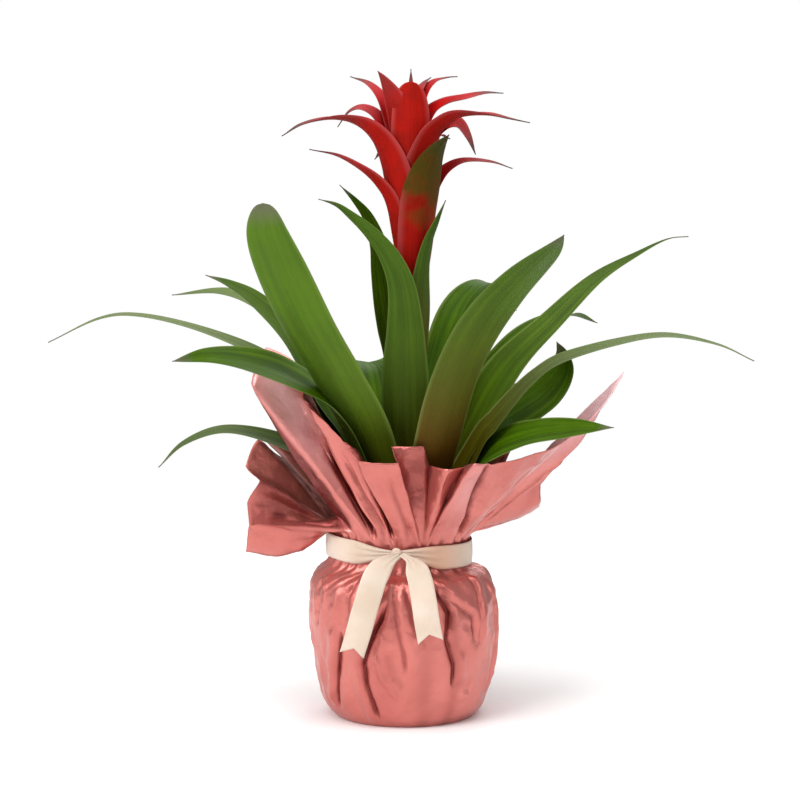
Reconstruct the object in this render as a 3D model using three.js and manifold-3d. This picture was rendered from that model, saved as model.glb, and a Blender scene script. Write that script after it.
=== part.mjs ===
// A scarlet bromeliad in a round nursery pot, wrapped as a gift: one square of metallic film is
// gathered up round the pot, tied at the neck with a satin ribbon, and flares in loose pleats
// under the strap leaves. The flower head is a rosette of red bracts on an upright stem.
// Millimetres, +Z up. The origin is the middle of the flat underside that the wrapped pot stands on.
// Azimuths are degrees seen from above: 0 is +X (right), 90 is +Y (back), 180 left, 270 front.
import * as THREE from "three";
import { mergeVertices } from "three/addons/utils/BufferGeometryUtils.js";
import Module from "manifold-3d";

const wasm = await Module();
wasm.setup();

// Driving dimensions.
const GAP = 0.3; // between pieces that touch
const FILM = 0.8; // the wrapping film, drawn thicker than life
const POT_TOP_R = 60.5; // a 12 cm nursery pot
const POT_BASE_R = 45;
const POT_HEIGHT = 107;
const POT_WALL = 1.3;
const POT_RIM_H = 9;
const POT_FLOOR = 1.6;
const SOIL_LEVEL = 99;
const NECK_R = 55; // where the ribbon pulls the film in
const NECK_X = -4.5; // the neck is pulled a little to the left
const SAG = 3; // how far the collar's folds bow up between the neck and the edge
const NECK_MID = 131;
const NECK_REACH = 11; // how far the neck reaches above and below its middle
const NECK_TILT = 0.06; // the neck and its ribbon stand a little higher on the left
const RIBBON_WIDTH = 19;
const RIBBON_THICK = 1.0;
const FLOWER_X = 4.5; // the stem stands a little right of the pot's centre
const STEM_R = 6;
const STEM_TOP = 372;
const BLADE_THICK = 1.3;

const rad = THREE.MathUtils.degToRad;
const lerp = THREE.MathUtils.lerp;

// ---------------------------------------------------------------- solids

/** A closed three.js geometry as a manifold-3d solid. */
function solid(geometry) {
  const bare = geometry.clone();
  bare.deleteAttribute("normal");
  bare.deleteAttribute("uv");
  const merged = mergeVertices(bare, 1e-4);
  return new wasm.Manifold(
    new wasm.Mesh({
      numProp: 3,
      vertProperties: new Float32Array(merged.attributes.position.array),
      triVerts: new Uint32Array(merged.index.array),
    }),
  );
}

/** A manifold-3d solid as a three.js geometry. */
function geometryOf(made) {
  const mesh = made.getMesh();
  const geometry = new THREE.BufferGeometry();
  geometry.setAttribute("position", new THREE.BufferAttribute(mesh.vertProperties, 3));
  geometry.setIndex(new THREE.BufferAttribute(mesh.triVerts, 1));
  geometry.computeVertexNormals();
  return geometry;
}

/** The largest body of a solid, which drops the loose scraps that a cut leaves. */
function largest(made) {
  const bodies = made.decompose();
  return bodies.reduce((best, body) => (body.volume() > best.volume() ? body : best));
}

/** A solid of revolution about Z from a list of [radius, height]. */
function turned(profile, segments) {
  const points = profile.map(([r, z]) => new THREE.Vector2(r, z));
  return new THREE.LatheGeometry(points, segments).rotateX(Math.PI / 2);
}

/** A geometry from a list of points and a list of triangles. */
function polyhedron(points, triangles) {
  const geometry = new THREE.BufferGeometry();
  const flat = points.flatMap((p) => [p.x, p.y, p.z]);
  geometry.setAttribute("position", new THREE.Float32BufferAttribute(flat, 3));
  geometry.setIndex(triangles.flat());
  return geometry;
}

const material = (color, roughness, metalness = 0) =>
  new THREE.MeshStandardMaterial({ color, roughness, metalness });

const LOOKS = {
  pot: material(0x4a3b33, 0.6),
  soil: material(0x2b1d14, 0.95),
  film: material(0xc4706b, 0.32, 0.6),
  ribbon: material(0xf0dfca, 0.45),
  stem: material(0x5f6b2a, 0.6),
  leaf: material(0x3f6b17, 0.4),
  bract: material(0xb01313, 0.4),
};

const plant = new THREE.Group();

/** Adds one named piece. */
function add(name, geometry, look) {
  const mesh = new THREE.Mesh(geometry, look);
  mesh.name = name;
  plant.add(mesh);
}

// ---------------------------------------------------------------- pot and soil

/** The radius of the pot's outside at height z, without its rim. */
function potRadius(z) {
  return lerp(POT_BASE_R, POT_TOP_R - 1.5, (z - FILM) / POT_HEIGHT);
}

function nurseryPot() {
  const base = FILM + GAP;
  const top = base + POT_HEIGHT;
  const rim = top - POT_RIM_H;
  const wall = turned(
    [
      [0, base],
      [potRadius(base), base],
      [potRadius(rim), rim],
      [POT_TOP_R, rim],
      [POT_TOP_R, top],
      [POT_TOP_R - POT_WALL, top],
      [potRadius(rim) - POT_WALL, rim - 2],
      [potRadius(base) - POT_WALL, base + POT_FLOOR],
      [0, base + POT_FLOOR],
    ],
    32,
  );
  const holes = [0, 72, 144, 216, 288].map((a) =>
    solid(
      new THREE.CylinderGeometry(4, 4, 8, 8)
        .rotateX(Math.PI / 2)
        .translate(30 * Math.cos(rad(a)), 30 * Math.sin(rad(a)), base),
    ),
  );
  return geometryOf(solid(wall).subtract(wasm.Manifold.union(holes)));
}

function pottingSoil() {
  const floor = FILM + POT_FLOOR + 2 * GAP;
  const bed = turned(
    [
      [0, floor],
      [potRadius(floor) - POT_WALL - GAP, floor],
      [potRadius(SOIL_LEVEL) - POT_WALL - 1, SOIL_LEVEL - 3],
      [potRadius(SOIL_LEVEL) - POT_WALL - 9, SOIL_LEVEL],
      [0, SOIL_LEVEL + 2],
    ],
    32,
  );
  return geometryOf(solid(bed).subtract(solid(stemShape(GAP))));
}

// ---------------------------------------------------------------- stem

/** The short stem with its packed leaf sheaths, and the flower stem above, grown by a clearance. */
function stemShape(grow) {
  const outline = [
    [0, 66 - grow],
    [9 + grow, 66 - grow],
    [13 + grow, 80],
    [15 + grow, SOIL_LEVEL],
    [23 + grow, SOIL_LEVEL + 12],
    [27 + grow, 130],
    [26 + grow, 150],
    [21 + grow, 175],
    [14 + grow, 205],
    [9 + grow, 235],
    [STEM_R + grow, 262],
    [STEM_R + grow, STEM_TOP + grow],
    [0, STEM_TOP + grow],
  ];
  return turned(outline, 16).translate(FLOWER_X / 2, 0, 0);
}

// ---------------------------------------------------------------- blades

/**
 * A leaf or bract: a strap that follows a spine and tapers to a point.
 * azimuth: the way it leans. spine: points [out, up, aside] that it passes through, aside being to the
 * left of the way it leans. width: its widest. base: its width at the root as a share of that.
 * taper: the share of its length where it starts to narrow. power: how late the narrowing comes.
 * blunt: under 1 rounds the tip.
 * cup: how far the edges rise at the root and the tip, as a share of the half width.
 * roll: the turn about the spine in degrees at the root and the tip. rows: steps along it.
 */
const BLADE = {
  width: 34, base: 0.8, taper: 0.45, power: 2, blunt: 1, cup: [0.34, 0.2], roll: [0, 0], rows: 10,
  columns: 4,
};
const POINT_WIDTH = 0.9;

function bladeStations(given) {
  const b = { ...BLADE, ...given };
  const out = new THREE.Vector3(Math.cos(rad(b.azimuth)), Math.sin(rad(b.azimuth)), 0);
  const aside = new THREE.Vector3(-out.y, out.x, 0);
  const curve = new THREE.CatmullRomCurve3(
    b.spine.map(([o, u, a = 0]) =>
      out.clone().multiplyScalar(o).addScaledVector(aside, a).add(new THREE.Vector3(b.x ?? 0, 0, u)),
    ),
    false,
    "catmullrom",
    0.5,
  );
  return Array.from({ length: b.rows + 1 }, (_, i) => {
    const t = 1 - (1 - i / b.rows) ** 1.25; // closer together towards the tip
    const along = curve.getTangentAt(t);
    const side = aside.clone().addScaledVector(along, -aside.dot(along)).normalize();
    side.applyAxisAngle(along, rad(lerp(b.roll[0], b.roll[1], t)));
    const up = along.clone().cross(side);
    const swell = lerp(b.base, 1, Math.sin((Math.min(t / b.taper, 1) * Math.PI) / 2));
    const narrow = (1 - Math.max(0, (t - b.taper) / (1 - b.taper)) ** b.power) ** b.blunt;
    const half = Math.max(POINT_WIDTH, b.width * swell * narrow) / 2;
    return { centre: curve.getPointAt(t), side, up, half, cup: lerp(b.cup[0], b.cup[1], t), t };
  });
}

/** The closed blade, with every face grown outwards by a clearance. */
function blade(given, grow = 0) {
  const stations = bladeStations(given);
  const columns = { ...BLADE, ...given }.columns;
  const across = columns + 1;
  const points = [];
  for (const face of [1, -1]) {
    stations.forEach(({ centre, side, up, half, cup, t }) => {
      for (let j = 0; j < across; j++) {
        const u = (2 * j) / columns - 1;
        const thick = (BLADE_THICK * (1 - 0.35 * u * u) * (1 - 0.35 * t)) / 2 + grow;
        points.push(
          centre
            .clone()
            .addScaledVector(side, (half + grow) * u)
            .addScaledVector(up, half * cup * u * u + face * thick),
        );
      }
    });
  }
  const rows = stations.length;
  const top = (i, j) => i * across + j;
  const low = (i, j) => rows * across + i * across + j;
  const triangles = [];
  const quad = (a, b, c, d) => triangles.push([a, b, c], [a, c, d]);
  for (let i = 0; i + 1 < rows; i++) {
    for (let j = 0; j < columns; j++) {
      quad(top(i, j), top(i, j + 1), top(i + 1, j + 1), top(i + 1, j));
      quad(low(i, j), low(i + 1, j), low(i + 1, j + 1), low(i, j + 1));
    }
    quad(top(i, 0), top(i + 1, 0), low(i + 1, 0), low(i, 0));
    quad(top(i, columns), low(i, columns), low(i + 1, columns), top(i + 1, columns));
  }
  for (let j = 0; j < columns; j++) {
    quad(top(0, j), low(0, j), low(0, j + 1), top(0, j + 1));
    const last = rows - 1;
    quad(top(last, j), top(last, j + 1), low(last, j + 1), low(last, j));
  }
  const made = solid(polyhedron(points, triangles));
  return made.volume() < 0 ? solid(polyhedron(points, triangles.map(([a, b, c]) => [a, c, b]))) : made;
}

// The leaves, from the innermost and steepest to the outermost.
const LEAVES = {
  leaf_front_bract: {
    azimuth: 270, width: 36, base: 0.86, taper: 0.42, power: 1, cup: [0.35, 0.2], rows: 13,
    spine: [
      [15, 150, 4], [22, 212, 1], [30, 262, 0], [31, 304, 0], [31, 334, -3], [31, 356, -12], [32, 374, -26],
      [33, 388, -42], [34, 395, -52], [35, 399, -65],
    ],
  },
  leaf_right_bract: {
    azimuth: 318, width: 30, base: 0.9, taper: 0.4, power: 1.4,
    spine: [[10, 205], [16, 300], [19, 342], [24, 365], [32, 381], [41, 398]],
  },
  leaf_left_bract: {
    azimuth: 110, width: 26, power: 1.4, rows: 12,
    spine: [
      [13, 185, -8], [14, 245, -4], [14, 282, 1.5], [14, 300, 6], [14, 320, 10.5], [14, 343, 14.5],
      [14, 364, 17.5], [15, 384, 25], [16, 397, 35], [17, 409, 47],
    ],
  },
  leaf_front_left: {
    azimuth: 228, width: 46, base: 0.75, taper: 0.5, power: 5, blunt: 0.45, roll: [10, 16],
    cup: [0.3, 0.06], rows: 11,
    spine: [[16, 136], [42, 213], [78, 266], [110, 308], [134, 346], [149, 375], [153, 398]],
  },
  leaf_front_right: {
    azimuth: 300, width: 43, taper: 0.56, power: 4, cup: [0.25, 0.06],
    spine: [[16, 132], [50, 211], [72, 258], [100, 295], [134, 325], [169, 348], [202, 367], [218, 378]],
  },
  leaf_right_high: {
    azimuth: 358, width: 48, base: 0.75, taper: 0.35, power: 1.25, blunt: 1.6, roll: [22, 48],
    cup: [0.26, 0.15],
    spine: [[16, 140], [50, 214], [79, 267], [113, 304], [146, 337], [178, 357], [200, 368], [216, 370]],
  },
  leaf_back_right: {
    azimuth: 60, width: 40, taper: 0.5, power: 2.2, cup: [0.34, 0.25],
    spine: [[14, 145], [42, 218], [76, 284], [104, 315], [136, 327], [164, 319], [186, 302]],
  },
  leaf_right_behind: {
    azimuth: 42, width: 40, power: 2.6,
    spine: [[14, 132], [50, 197], [84, 244], [115, 273], [147, 292], [180, 301], [214, 293]],
  },
  leaf_right_long: {
    azimuth: 334, width: 44, taper: 0.15, power: 0.65, roll: [55, 18], cup: [0.25, 0.2], rows: 12,
    spine: [
      [16, 118], [61, 210], [76, 230], [91, 248], [109, 266], [130, 280], [173, 294], [212, 301],
      [251, 296], [279, 285],
    ],
  },
  leaf_right_curled: {
    azimuth: 18, width: 44, taper: 0.6, power: 2.2, roll: [20, 50], cup: [0.34, 0.25],
    spine: [[14, 116], [61, 211], [88, 229], [114, 245], [129, 262], [130, 276], [125, 286]],
  },
  leaf_right_low: {
    azimuth: 325, width: 44, taper: 0.5, power: 1.8, roll: [26, 36], cup: [0.25, 0.1],
    spine: [[16, 106], [48, 174], [78, 208], [113, 224], [148, 231], [185, 235]],
  },
  leaf_left_mid: {
    azimuth: 172, width: 36, taper: 0.5, power: 1.7, roll: [-20, -30], cup: [0.3, 0.15],
    spine: [[14, 146], [39, 209], [63, 247], [89, 291], [116, 319], [137, 332], [156, 339]],
  },
  leaf_left_pale: {
    azimuth: 157, width: 36, taper: 0.4, power: 1.5, roll: [-16, -22], cup: [0.34, 0.3],
    spine: [[14, 132], [43, 205], [72, 254], [100, 294], [123, 313], [158, 323], [202, 320]],
  },
  leaf_left_long: {
    azimuth: 184, width: 32, base: 0.8, taper: 0.2, power: 0.8, roll: [-30, -18], cup: [0.25, 0.2], rows: 12,
    spine: [[14, 118], [44, 200], [80, 254], [111, 279], [157, 299], [202, 310], [233, 308], [272, 290]],
  },
  leaf_left_low: {
    azimuth: 214, width: 42, taper: 0.55, roll: [-26, -40], cup: [0.22, 0.1],
    spine: [[16, 110], [41, 206], [68, 246], [104, 268], [138, 280], [172, 286], [203, 284]],
  },
  leaf_left_droop: {
    azimuth: 190, width: 32, taper: 0.35, power: 1.3, roll: [-20, -22], cup: [0.3, 0.2],
    spine: [[15, 104], [40, 164], [68, 196], [101, 214], [139, 223], [170, 214], [190, 196]],
  },
  leaf_back_left: {
    azimuth: 105, width: 46, taper: 0.5, power: 2.0,
    spine: [[14, 124], [40, 196], [64, 240], [92, 262], [130, 260], [165, 236]],
  },
  leaf_back_high: {
    azimuth: 84, width: 40, taper: 0.5, power: 2.0,
    spine: [[13, 134], [38, 208], [66, 250], [104, 270], [150, 262], [190, 232]],
  },
  leaf_back_far_left: {
    azimuth: 134, width: 38, taper: 0.45, power: 1.8,
    spine: [[14, 116], [44, 184], [76, 222], [108, 238], [135, 232], [152, 214]],
  },
  leaf_back_low: {
    azimuth: 58, width: 36, taper: 0.45, power: 1.8,
    spine: [[15, 106], [46, 176], [80, 222], [120, 244], [162, 238], [196, 212]],
  },
};

// ---------------------------------------------------------------- flower head

// The bracts of the flower head, in the same terms as the leaves, about the flower stem.
const HEAD = {
  width: 16, base: 0.8, taper: 0.4, power: 1.3, cup: [0.4, 0.25], rows: 8, columns: 2, x: FLOWER_X,
};
const BRACTS = [
  // The two long ones on the left, and the curled pair above them.
  { azimuth: 222, width: 32, base: 0.6, taper: 0.4, power: 1.0, cup: [0.6, 0.25], rows: 10,
    spine: [
      [8, 345], [14, 372], [17, 400, -1], [20, 425, -4], [25, 444, -12], [33, 455, -24], [46, 459, -38],
      [62, 455, -54], [73, 446, -66],
    ] },
  { azimuth: 215, width: 22, base: 0.9, taper: 0.3, power: 1.1, cup: [0.6, 0.3], rows: 10,
    spine: [
      [9, 340], [14, 367], [19, 394, -2], [25, 408, -7], [34, 420, -16], [48, 431, -29], [63, 436, -45],
    ] },
  { azimuth: 160, width: 20, taper: 0.55, roll: [0, -24],
    spine: [[4, 385], [12, 415], [20, 444], [28, 460], [40, 467], [51, 464], [60, 453]] },
  { azimuth: 138, width: 18, roll: [0, -20],
    spine: [[3, 400], [12, 432], [20, 454], [30, 474], [44, 486], [63, 492]] },
  // The upright ones of the crown.
  { azimuth: 240, width: 27, power: 2.2,
    spine: [[3, 400], [9, 436], [13, 462, -4], [16, 478, -9], [19, 488, -13], [21, 495, -17]] },
  { azimuth: 268, width: 30, base: 0.7, taper: 0.5, power: 6, blunt: 0.5, cup: [0.55, 0.25], rows: 10,
    spine: [[8, 342], [13, 375], [14, 410], [14, 450], [13, 470], [12, 487]] },
  { azimuth: 90, width: 11, spine: [[2, 430], [6, 470], [9, 497]] },
  { azimuth: 60, width: 16, spine: [[2, 420], [4, 458], [9, 476], [20, 486], [31, 491]] },
  { azimuth: 48, width: 15, spine: [[2, 420], [6, 455], [14, 476], [26, 487], [42, 491], [54, 492]] },
  // The long ones on the right.
  { azimuth: 22, width: 20, power: 1.2, roll: [0, 26],
    spine: [[3, 400], [8, 440], [16, 462], [28, 471], [44, 475], [62, 479], [77, 479]] },
  { azimuth: 315, width: 30, base: 0.7, taper: 0.4, power: 1.0, cup: [0.6, 0.25], rows: 10,
    spine: [
      [6, 365], [12, 410], [20, 442, 3], [29, 455, 9], [38, 461, 17], [51, 462, 30], [63, 459, 42],
      [74, 456, 53],
    ] },
  { azimuth: 8, width: 22, taper: 0.6, roll: [10, 40],
    spine: [[6, 400], [14, 436], [24, 452], [35, 455], [43, 446], [50, 432]] },
  { azimuth: 26, width: 20, taper: 0.3, power: 1.1, roll: [0, 26],
    spine: [[5, 355], [14, 390], [24, 412], [34, 422], [48, 427], [70, 426], [88, 421]] },
  // The broad green-backed one in front.
  { azimuth: 302, width: 34, base: 0.8, taper: 0.45, power: 1.9, cup: [0.55, 0.35], rows: 10,
    spine: [[10, 338], [14, 362], [17, 386], [22, 406], [30, 425], [41, 438], [53, 447]] },
  { azimuth: 20, width: 24, taper: 0.6, power: 2.2,
    spine: [[6, 345], [12, 385], [17, 410], [21, 430], [24, 440]] },
  // The ones behind.
  { azimuth: 62, width: 20, spine: [[4, 360], [14, 400], [26, 430], [44, 446], [66, 444]] },
  { azimuth: 94, width: 22, spine: [[4, 380], [14, 430], [28, 455], [52, 462], [78, 448]] },
  { azimuth: 118, width: 20, spine: [[4, 365], [14, 405], [26, 428], [42, 436], [60, 428]] },
  { azimuth: 88, width: 20, spine: [[4, 345], [14, 380], [30, 405], [54, 415], [78, 408]] },
];

function flowerHead() {
  const heart = turned(
    [
      [0, 338],
      [9, 338],
      [11, 372],
      [14, 408],
      [12, 436],
      [5, 456],
      [0, 458],
    ],
    12,
  ).translate(FLOWER_X, 0, 0);
  const bracts = BRACTS.map((b) => blade({ ...HEAD, ...b }));
  const head = wasm.Manifold.union([solid(heart), ...bracts]);
  return geometryOf(largest(head.subtract(solid(stemShape(GAP)))));
}

// ---------------------------------------------------------------- wrapping film

// The film's free edge, fold by fold round it: [azimuth at the neck, azimuth, radius, height].
// The folds crowd together at the knot in front, and some of them overlap the next one.
const EDGE = [
  // In front: the bright panel, the one behind it, a narrow ridge, the light panel and the right wing.
  [267, 252, 81, 205], [286, 266, 76, 205], [287.5, 259, 58, 215], [289.5, 284, 58, 215],
  [290.5, 290, 54, 200], [292, 296, 75, 199], [293, 309, 71, 200], [294.5, 306, 87, 204],
  [322, 312, 95, 203], [330, 334, 124, 214], [336, 350, 148, 236], [341, 363, 169, 265],
  [345, 366, 157, 241], [349, 367, 139, 211],
  // The right wing's lower flap, then round the back.
  [353, 368, 107, 176], [358, 376, 110, 156], [365, 386, 98, 146], [377, 390, 84, 172], [388, 398, 114, 212],
  [400, 408, 86, 190], [412, 420, 116, 218], [424, 432, 88, 196], [436, 446, 124, 226], [448, 458, 90, 198],
  [460, 470, 122, 222], [472, 482, 90, 196], [484, 496, 120, 216], [496, 508, 92, 192], [508, 521, 118, 212],
  [517, 530, 97, 196],
  // The left wing's three lower flaps, and the valley above them.
  [525, 538, 114, 213], [531, 541, 123, 193], [536, 543, 112, 182], [541, 540, 122, 164],
  [550, 541, 119, 132], [558, 547, 123, 129], [574, 549, 121, 149], [592, 570, 60, 158],
  // The left wing.
  [602, 562, 83, 192], [606, 556, 121, 260], [608, 553, 108, 287], [610.5, 558, 88, 276],
  [613.5, 567, 87, 255], [617, 575, 92, 246], [621, 584, 86, 236], [623, 593, 80, 222], [625, 602, 78, 207],
];
const COLLAR_ROWS = 4;
// How far some folds of the two lower flaps hang below the straight way from the neck to the edge.
const HANG = { 14: 3, 15: 4, 16: 3, 33: 1, 34: 8, 35: 14, 36: 4 };

// The film on the pot below the neck: [radius, height, how far its folds have spread evenly].
const BODY = [
  [54, 0, 1], [61, 8, 1], [66, 22, 1], [71, 48, 1], [73, 76, 0.8], [71.5, 98, 0.5], [66.5, 111, 0.25],
];
// How far in some of the folds lie as creases: by fold, the depth on the pot; and its share at the heights.
const CREASES = {
  1: 2, 6: 4, 9: 3, 12: 2, 15: 4, 18: 2.5, 21: 3.5, 24: 2, 27: 4, 30: 3, 33: 2, 36: 3.5, 39: 2, 43: 4, 46: 4,
};
const CREASE_SHARE = [0.1, 0.5, 0.9, 1, 1, 0.9, 0.5];
const BODY_TURN = 255; // the azimuth on the pot of the first fold

/** The outside of the film along fold k, from the underside's rim to the free edge. */
function fold(k) {
  const [neckAt, edgeAt, edgeR, edgeZ] = EDGE[k];
  const evenly = BODY_TURN + (360 * k) / EDGE.length;
  const at = (azimuth, r, z, x = 0) =>
    new THREE.Vector3(x + r * Math.cos(rad(azimuth)), r * Math.sin(rad(azimuth)), z);
  const body = BODY.map(([r, z, spread], i) =>
    at(lerp(neckAt, evenly, spread), r - (CREASES[k] ?? 0) * CREASE_SHARE[i], z, NECK_X * (1 - spread)),
  );
  const neck = at(neckAt, NECK_R, NECK_MID, NECK_X);
  neck.z -= NECK_TILT * neck.x;
  const low = neck.clone().setZ(neck.z - NECK_REACH);
  const high = neck.clone().setZ(neck.z + NECK_REACH);
  const edge = at(edgeAt, edgeR, edgeZ);
  const collar = Array.from({ length: COLLAR_ROWS }, (_, i) => {
    const v = (i + 1) / COLLAR_ROWS;
    const bow = (SAG - (HANG[k] ?? 0)) * Math.abs(Math.sin(Math.PI * v)) ** 0.7;
    return high.clone().lerp(edge, v).add(new THREE.Vector3(0, 0, bow));
  });
  return [...body, low, high, ...collar];
}

function filmWrap() {
  const count = EDGE.length;
  const outside = EDGE.map((_, k) => fold(k));
  const rows = outside[0].length;
  // Each point moves in by the film's thickness, square to the surface there.
  const inside = outside.map((column, c) =>
    column.map((p, r) => {
      const east = outside[(c + 1) % count][r].clone().sub(outside[(c + count - 1) % count][r]);
      const up = column[Math.min(r + 1, rows - 1)].clone().sub(column[Math.max(r - 1, 0)]);
      const out = east.cross(up).normalize();
      if (r === 0) return new THREE.Vector3(0.99 * p.x, 0.99 * p.y, FILM);
      return p.clone().addScaledVector(out, -FILM);
    }),
  );
  const points = [...outside.flat(), ...inside.flat()];
  const lowest = points.push(new THREE.Vector3(0, 0, 0)) - 1;
  const floor = points.push(new THREE.Vector3(0, 0, FILM)) - 1;
  const a = (c, r) => (c % count) * rows + r;
  const b = (c, r) => count * rows + (c % count) * rows + r;
  const triangles = [];
  for (let c = 0; c < count; c++) {
    for (let r = 0; r + 1 < rows; r++) {
      triangles.push([a(c, r), a(c + 1, r), a(c + 1, r + 1)], [a(c, r), a(c + 1, r + 1), a(c, r + 1)]);
      triangles.push([b(c, r), b(c + 1, r + 1), b(c + 1, r)], [b(c, r), b(c, r + 1), b(c + 1, r + 1)]);
    }
    triangles.push([a(c, rows - 1), a(c + 1, rows - 1), b(c + 1, rows - 1)]);
    triangles.push([a(c, rows - 1), b(c + 1, rows - 1), b(c, rows - 1)]);
    triangles.push([lowest, a(c + 1, 0), a(c, 0)], [floor, b(c, 0), b(c + 1, 0)]);
  }
  return polyhedron(points, triangles);
}

// ---------------------------------------------------------------- ribbon

/** The shortest turn from one azimuth to another, in degrees. */
function turn(a, b) {
  return ((((a - b) % 360) + 540) % 360) - 180;
}

/** A flat strip along a list of [centre, half width vector, outward vector], as one closed solid. */
function strip(stations) {
  const points = [];
  for (const face of [1, 0]) {
    stations.forEach(([centre, half, out]) => {
      for (const u of [-1, 1]) {
        points.push(centre.clone().addScaledVector(half, u).addScaledVector(out, face * RIBBON_THICK));
      }
    });
  }
  const rows = stations.length;
  const top = (i, j) => 2 * i + j;
  const low = (i, j) => 2 * rows + 2 * i + j;
  const triangles = [];
  const quad = (p, q, r, s) => triangles.push([p, q, r], [p, r, s]);
  for (let i = 0; i + 1 < rows; i++) {
    quad(top(i, 0), top(i, 1), top(i + 1, 1), top(i + 1, 0));
    quad(low(i, 0), low(i + 1, 0), low(i + 1, 1), low(i, 1));
    quad(top(i, 0), top(i + 1, 0), low(i + 1, 0), low(i, 0));
    quad(top(i, 1), low(i, 1), low(i + 1, 1), top(i + 1, 1));
  }
  quad(top(0, 0), low(0, 0), low(0, 1), top(0, 1));
  const last = rows - 1;
  quad(top(last, 0), top(last, 1), low(last, 1), low(last, 0));
  const made = solid(polyhedron(points, triangles));
  return made.volume() < 0 ? solid(polyhedron(points, triangles.map(([p, q, r]) => [p, r, q]))) : made;
}

const KNOT_AT = 268; // the azimuth of the knot
const BAND_R = NECK_R + GAP + 0.5;
const KNOT = [BAND_R + 3.5, NECK_MID + 3]; // its distance out and its height

/** The band round the neck. It narrows to the knot over its last stretch on each side. */
function band() {
  const steps = 36;
  const stations = Array.from({ length: steps + 1 }, (_, i) => {
    const azimuth = KNOT_AT + 3 + (354 * i) / steps;
    const away = Math.abs(turn(azimuth, KNOT_AT));
    const spread = THREE.MathUtils.smoothstep(away, 0, 42);
    const out = new THREE.Vector3(Math.cos(rad(azimuth)), Math.sin(rad(azimuth)), 0);
    const half = new THREE.Vector3(0, 0, lerp(2.5, RIBBON_WIDTH / 2 - 0.5, spread));
    const centre = out.clone().multiplyScalar(lerp(KNOT[0], BAND_R, spread));
    centre.z = lerp(KNOT[1], NECK_MID - NECK_TILT * centre.x, spread);
    centre.x += NECK_X;
    return [centre, half, out];
  });
  return strip(stations);
}

// The ribbon's two tails: [x, y, z] of the middle line, from the knot down over the wrapped pot.
const TAILS = [
  [
    [-5, -62, 134], [-14, -70, 129], [-22, -76, 120], [-26.5, -78.5, 107], [-31, -79, 92], [-35, -78, 77],
    [-40, -75, 60],
  ],
  [[-3, -62, 134], [6, -70, 129], [11, -76, 117], [14, -79.5, 102], [16, -80, 88], [19, -79.5, 71]],
];
const NOTCH = 6; // how deep the swallow-tail cut is

/** One tail of the ribbon, with its end cut to two points. */
function tail(points) {
  const curve = new THREE.CatmullRomCurve3(points.map((p) => new THREE.Vector3(...p)));
  const steps = 10;
  const stations = Array.from({ length: steps + 1 }, (_, i) => {
    const t = i / steps;
    const along = curve.getTangentAt(t);
    const out = new THREE.Vector3(0, -1, 0);
    out.addScaledVector(along, -out.dot(along)).normalize();
    const width = lerp(6, RIBBON_WIDTH, THREE.MathUtils.smoothstep(t, 0, 0.28));
    return [curve.getPointAt(t), along.clone().cross(out).multiplyScalar(width / 2), out];
  });
  const [end, half] = stations.at(-1);
  const along = curve.getTangentAt(1);
  const right = half.clone().normalize();
  const wedge = new THREE.Shape();
  wedge.moveTo(-RIBBON_WIDTH / 2, 1);
  wedge.lineTo(RIBBON_WIDTH / 2, 1);
  wedge.lineTo(0, -NOTCH);
  const notch = new THREE.ExtrudeGeometry(wedge, { depth: 12, bevelEnabled: false }).translate(0, 0, -6);
  notch.applyMatrix4(new THREE.Matrix4().makeBasis(right, along, right.clone().cross(along)));
  notch.translate(end.x, end.y, end.z);
  return strip(stations).subtract(solid(notch));
}

function ribbon() {
  const knot = new THREE.SphereGeometry(1, 10, 8)
    .scale(6, 4, 5.5)
    .translate(KNOT[0] * Math.cos(rad(KNOT_AT)) + NECK_X, KNOT[0] * Math.sin(rad(KNOT_AT)) - 1, KNOT[1]);
  return wasm.Manifold.union([band(), solid(knot), ...TAILS.map(tail)]);
}

// ---------------------------------------------------------------- the plant

const stem = solid(stemShape(GAP));
const head = flowerHead();
add("nursery_pot", nurseryPot(), LOOKS.pot);
add("potting_soil", pottingSoil(), LOOKS.soil);
add("film_wrap", filmWrap(), LOOKS.film);
add("ribbon", geometryOf(ribbon()), LOOKS.ribbon);
add("stem", stemShape(0), LOOKS.stem);
add("flower_head", head, LOOKS.bract);

// Each leaf starts on the stem's packed sheaths, and an outer leaf is trimmed where it passes an inner one.
const inner = [];
for (const [name, shape] of Object.entries(LEAVES)) {
  const cutters = wasm.Manifold.union([stem, ...inner]);
  add(name, geometryOf(largest(blade(shape).subtract(cutters))), LOOKS.leaf);
  inner.push(blade(shape, GAP));
}

export default plant;
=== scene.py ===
# %% [markdown]
# # A potted bromeliad in gift film
# A florist sells this plant ready to give: a bromeliad in its nursery pot, the pot wrapped in one
# square of rose metallic film, the film tied in at the neck with cream satin ribbon.
# This notebook dresses the solid model of it. Every solid stays where it is. Where a solid is a plain
# stand-in for something thin and curved, a finer surface is worked out here and takes its place.
#
# Azimuths are degrees seen from above: 0 is +X (right), 90 is the back, 180 left and 270 the front.
# Shapes are written in millimetres and become metres when a mesh is made.

import math

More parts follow.
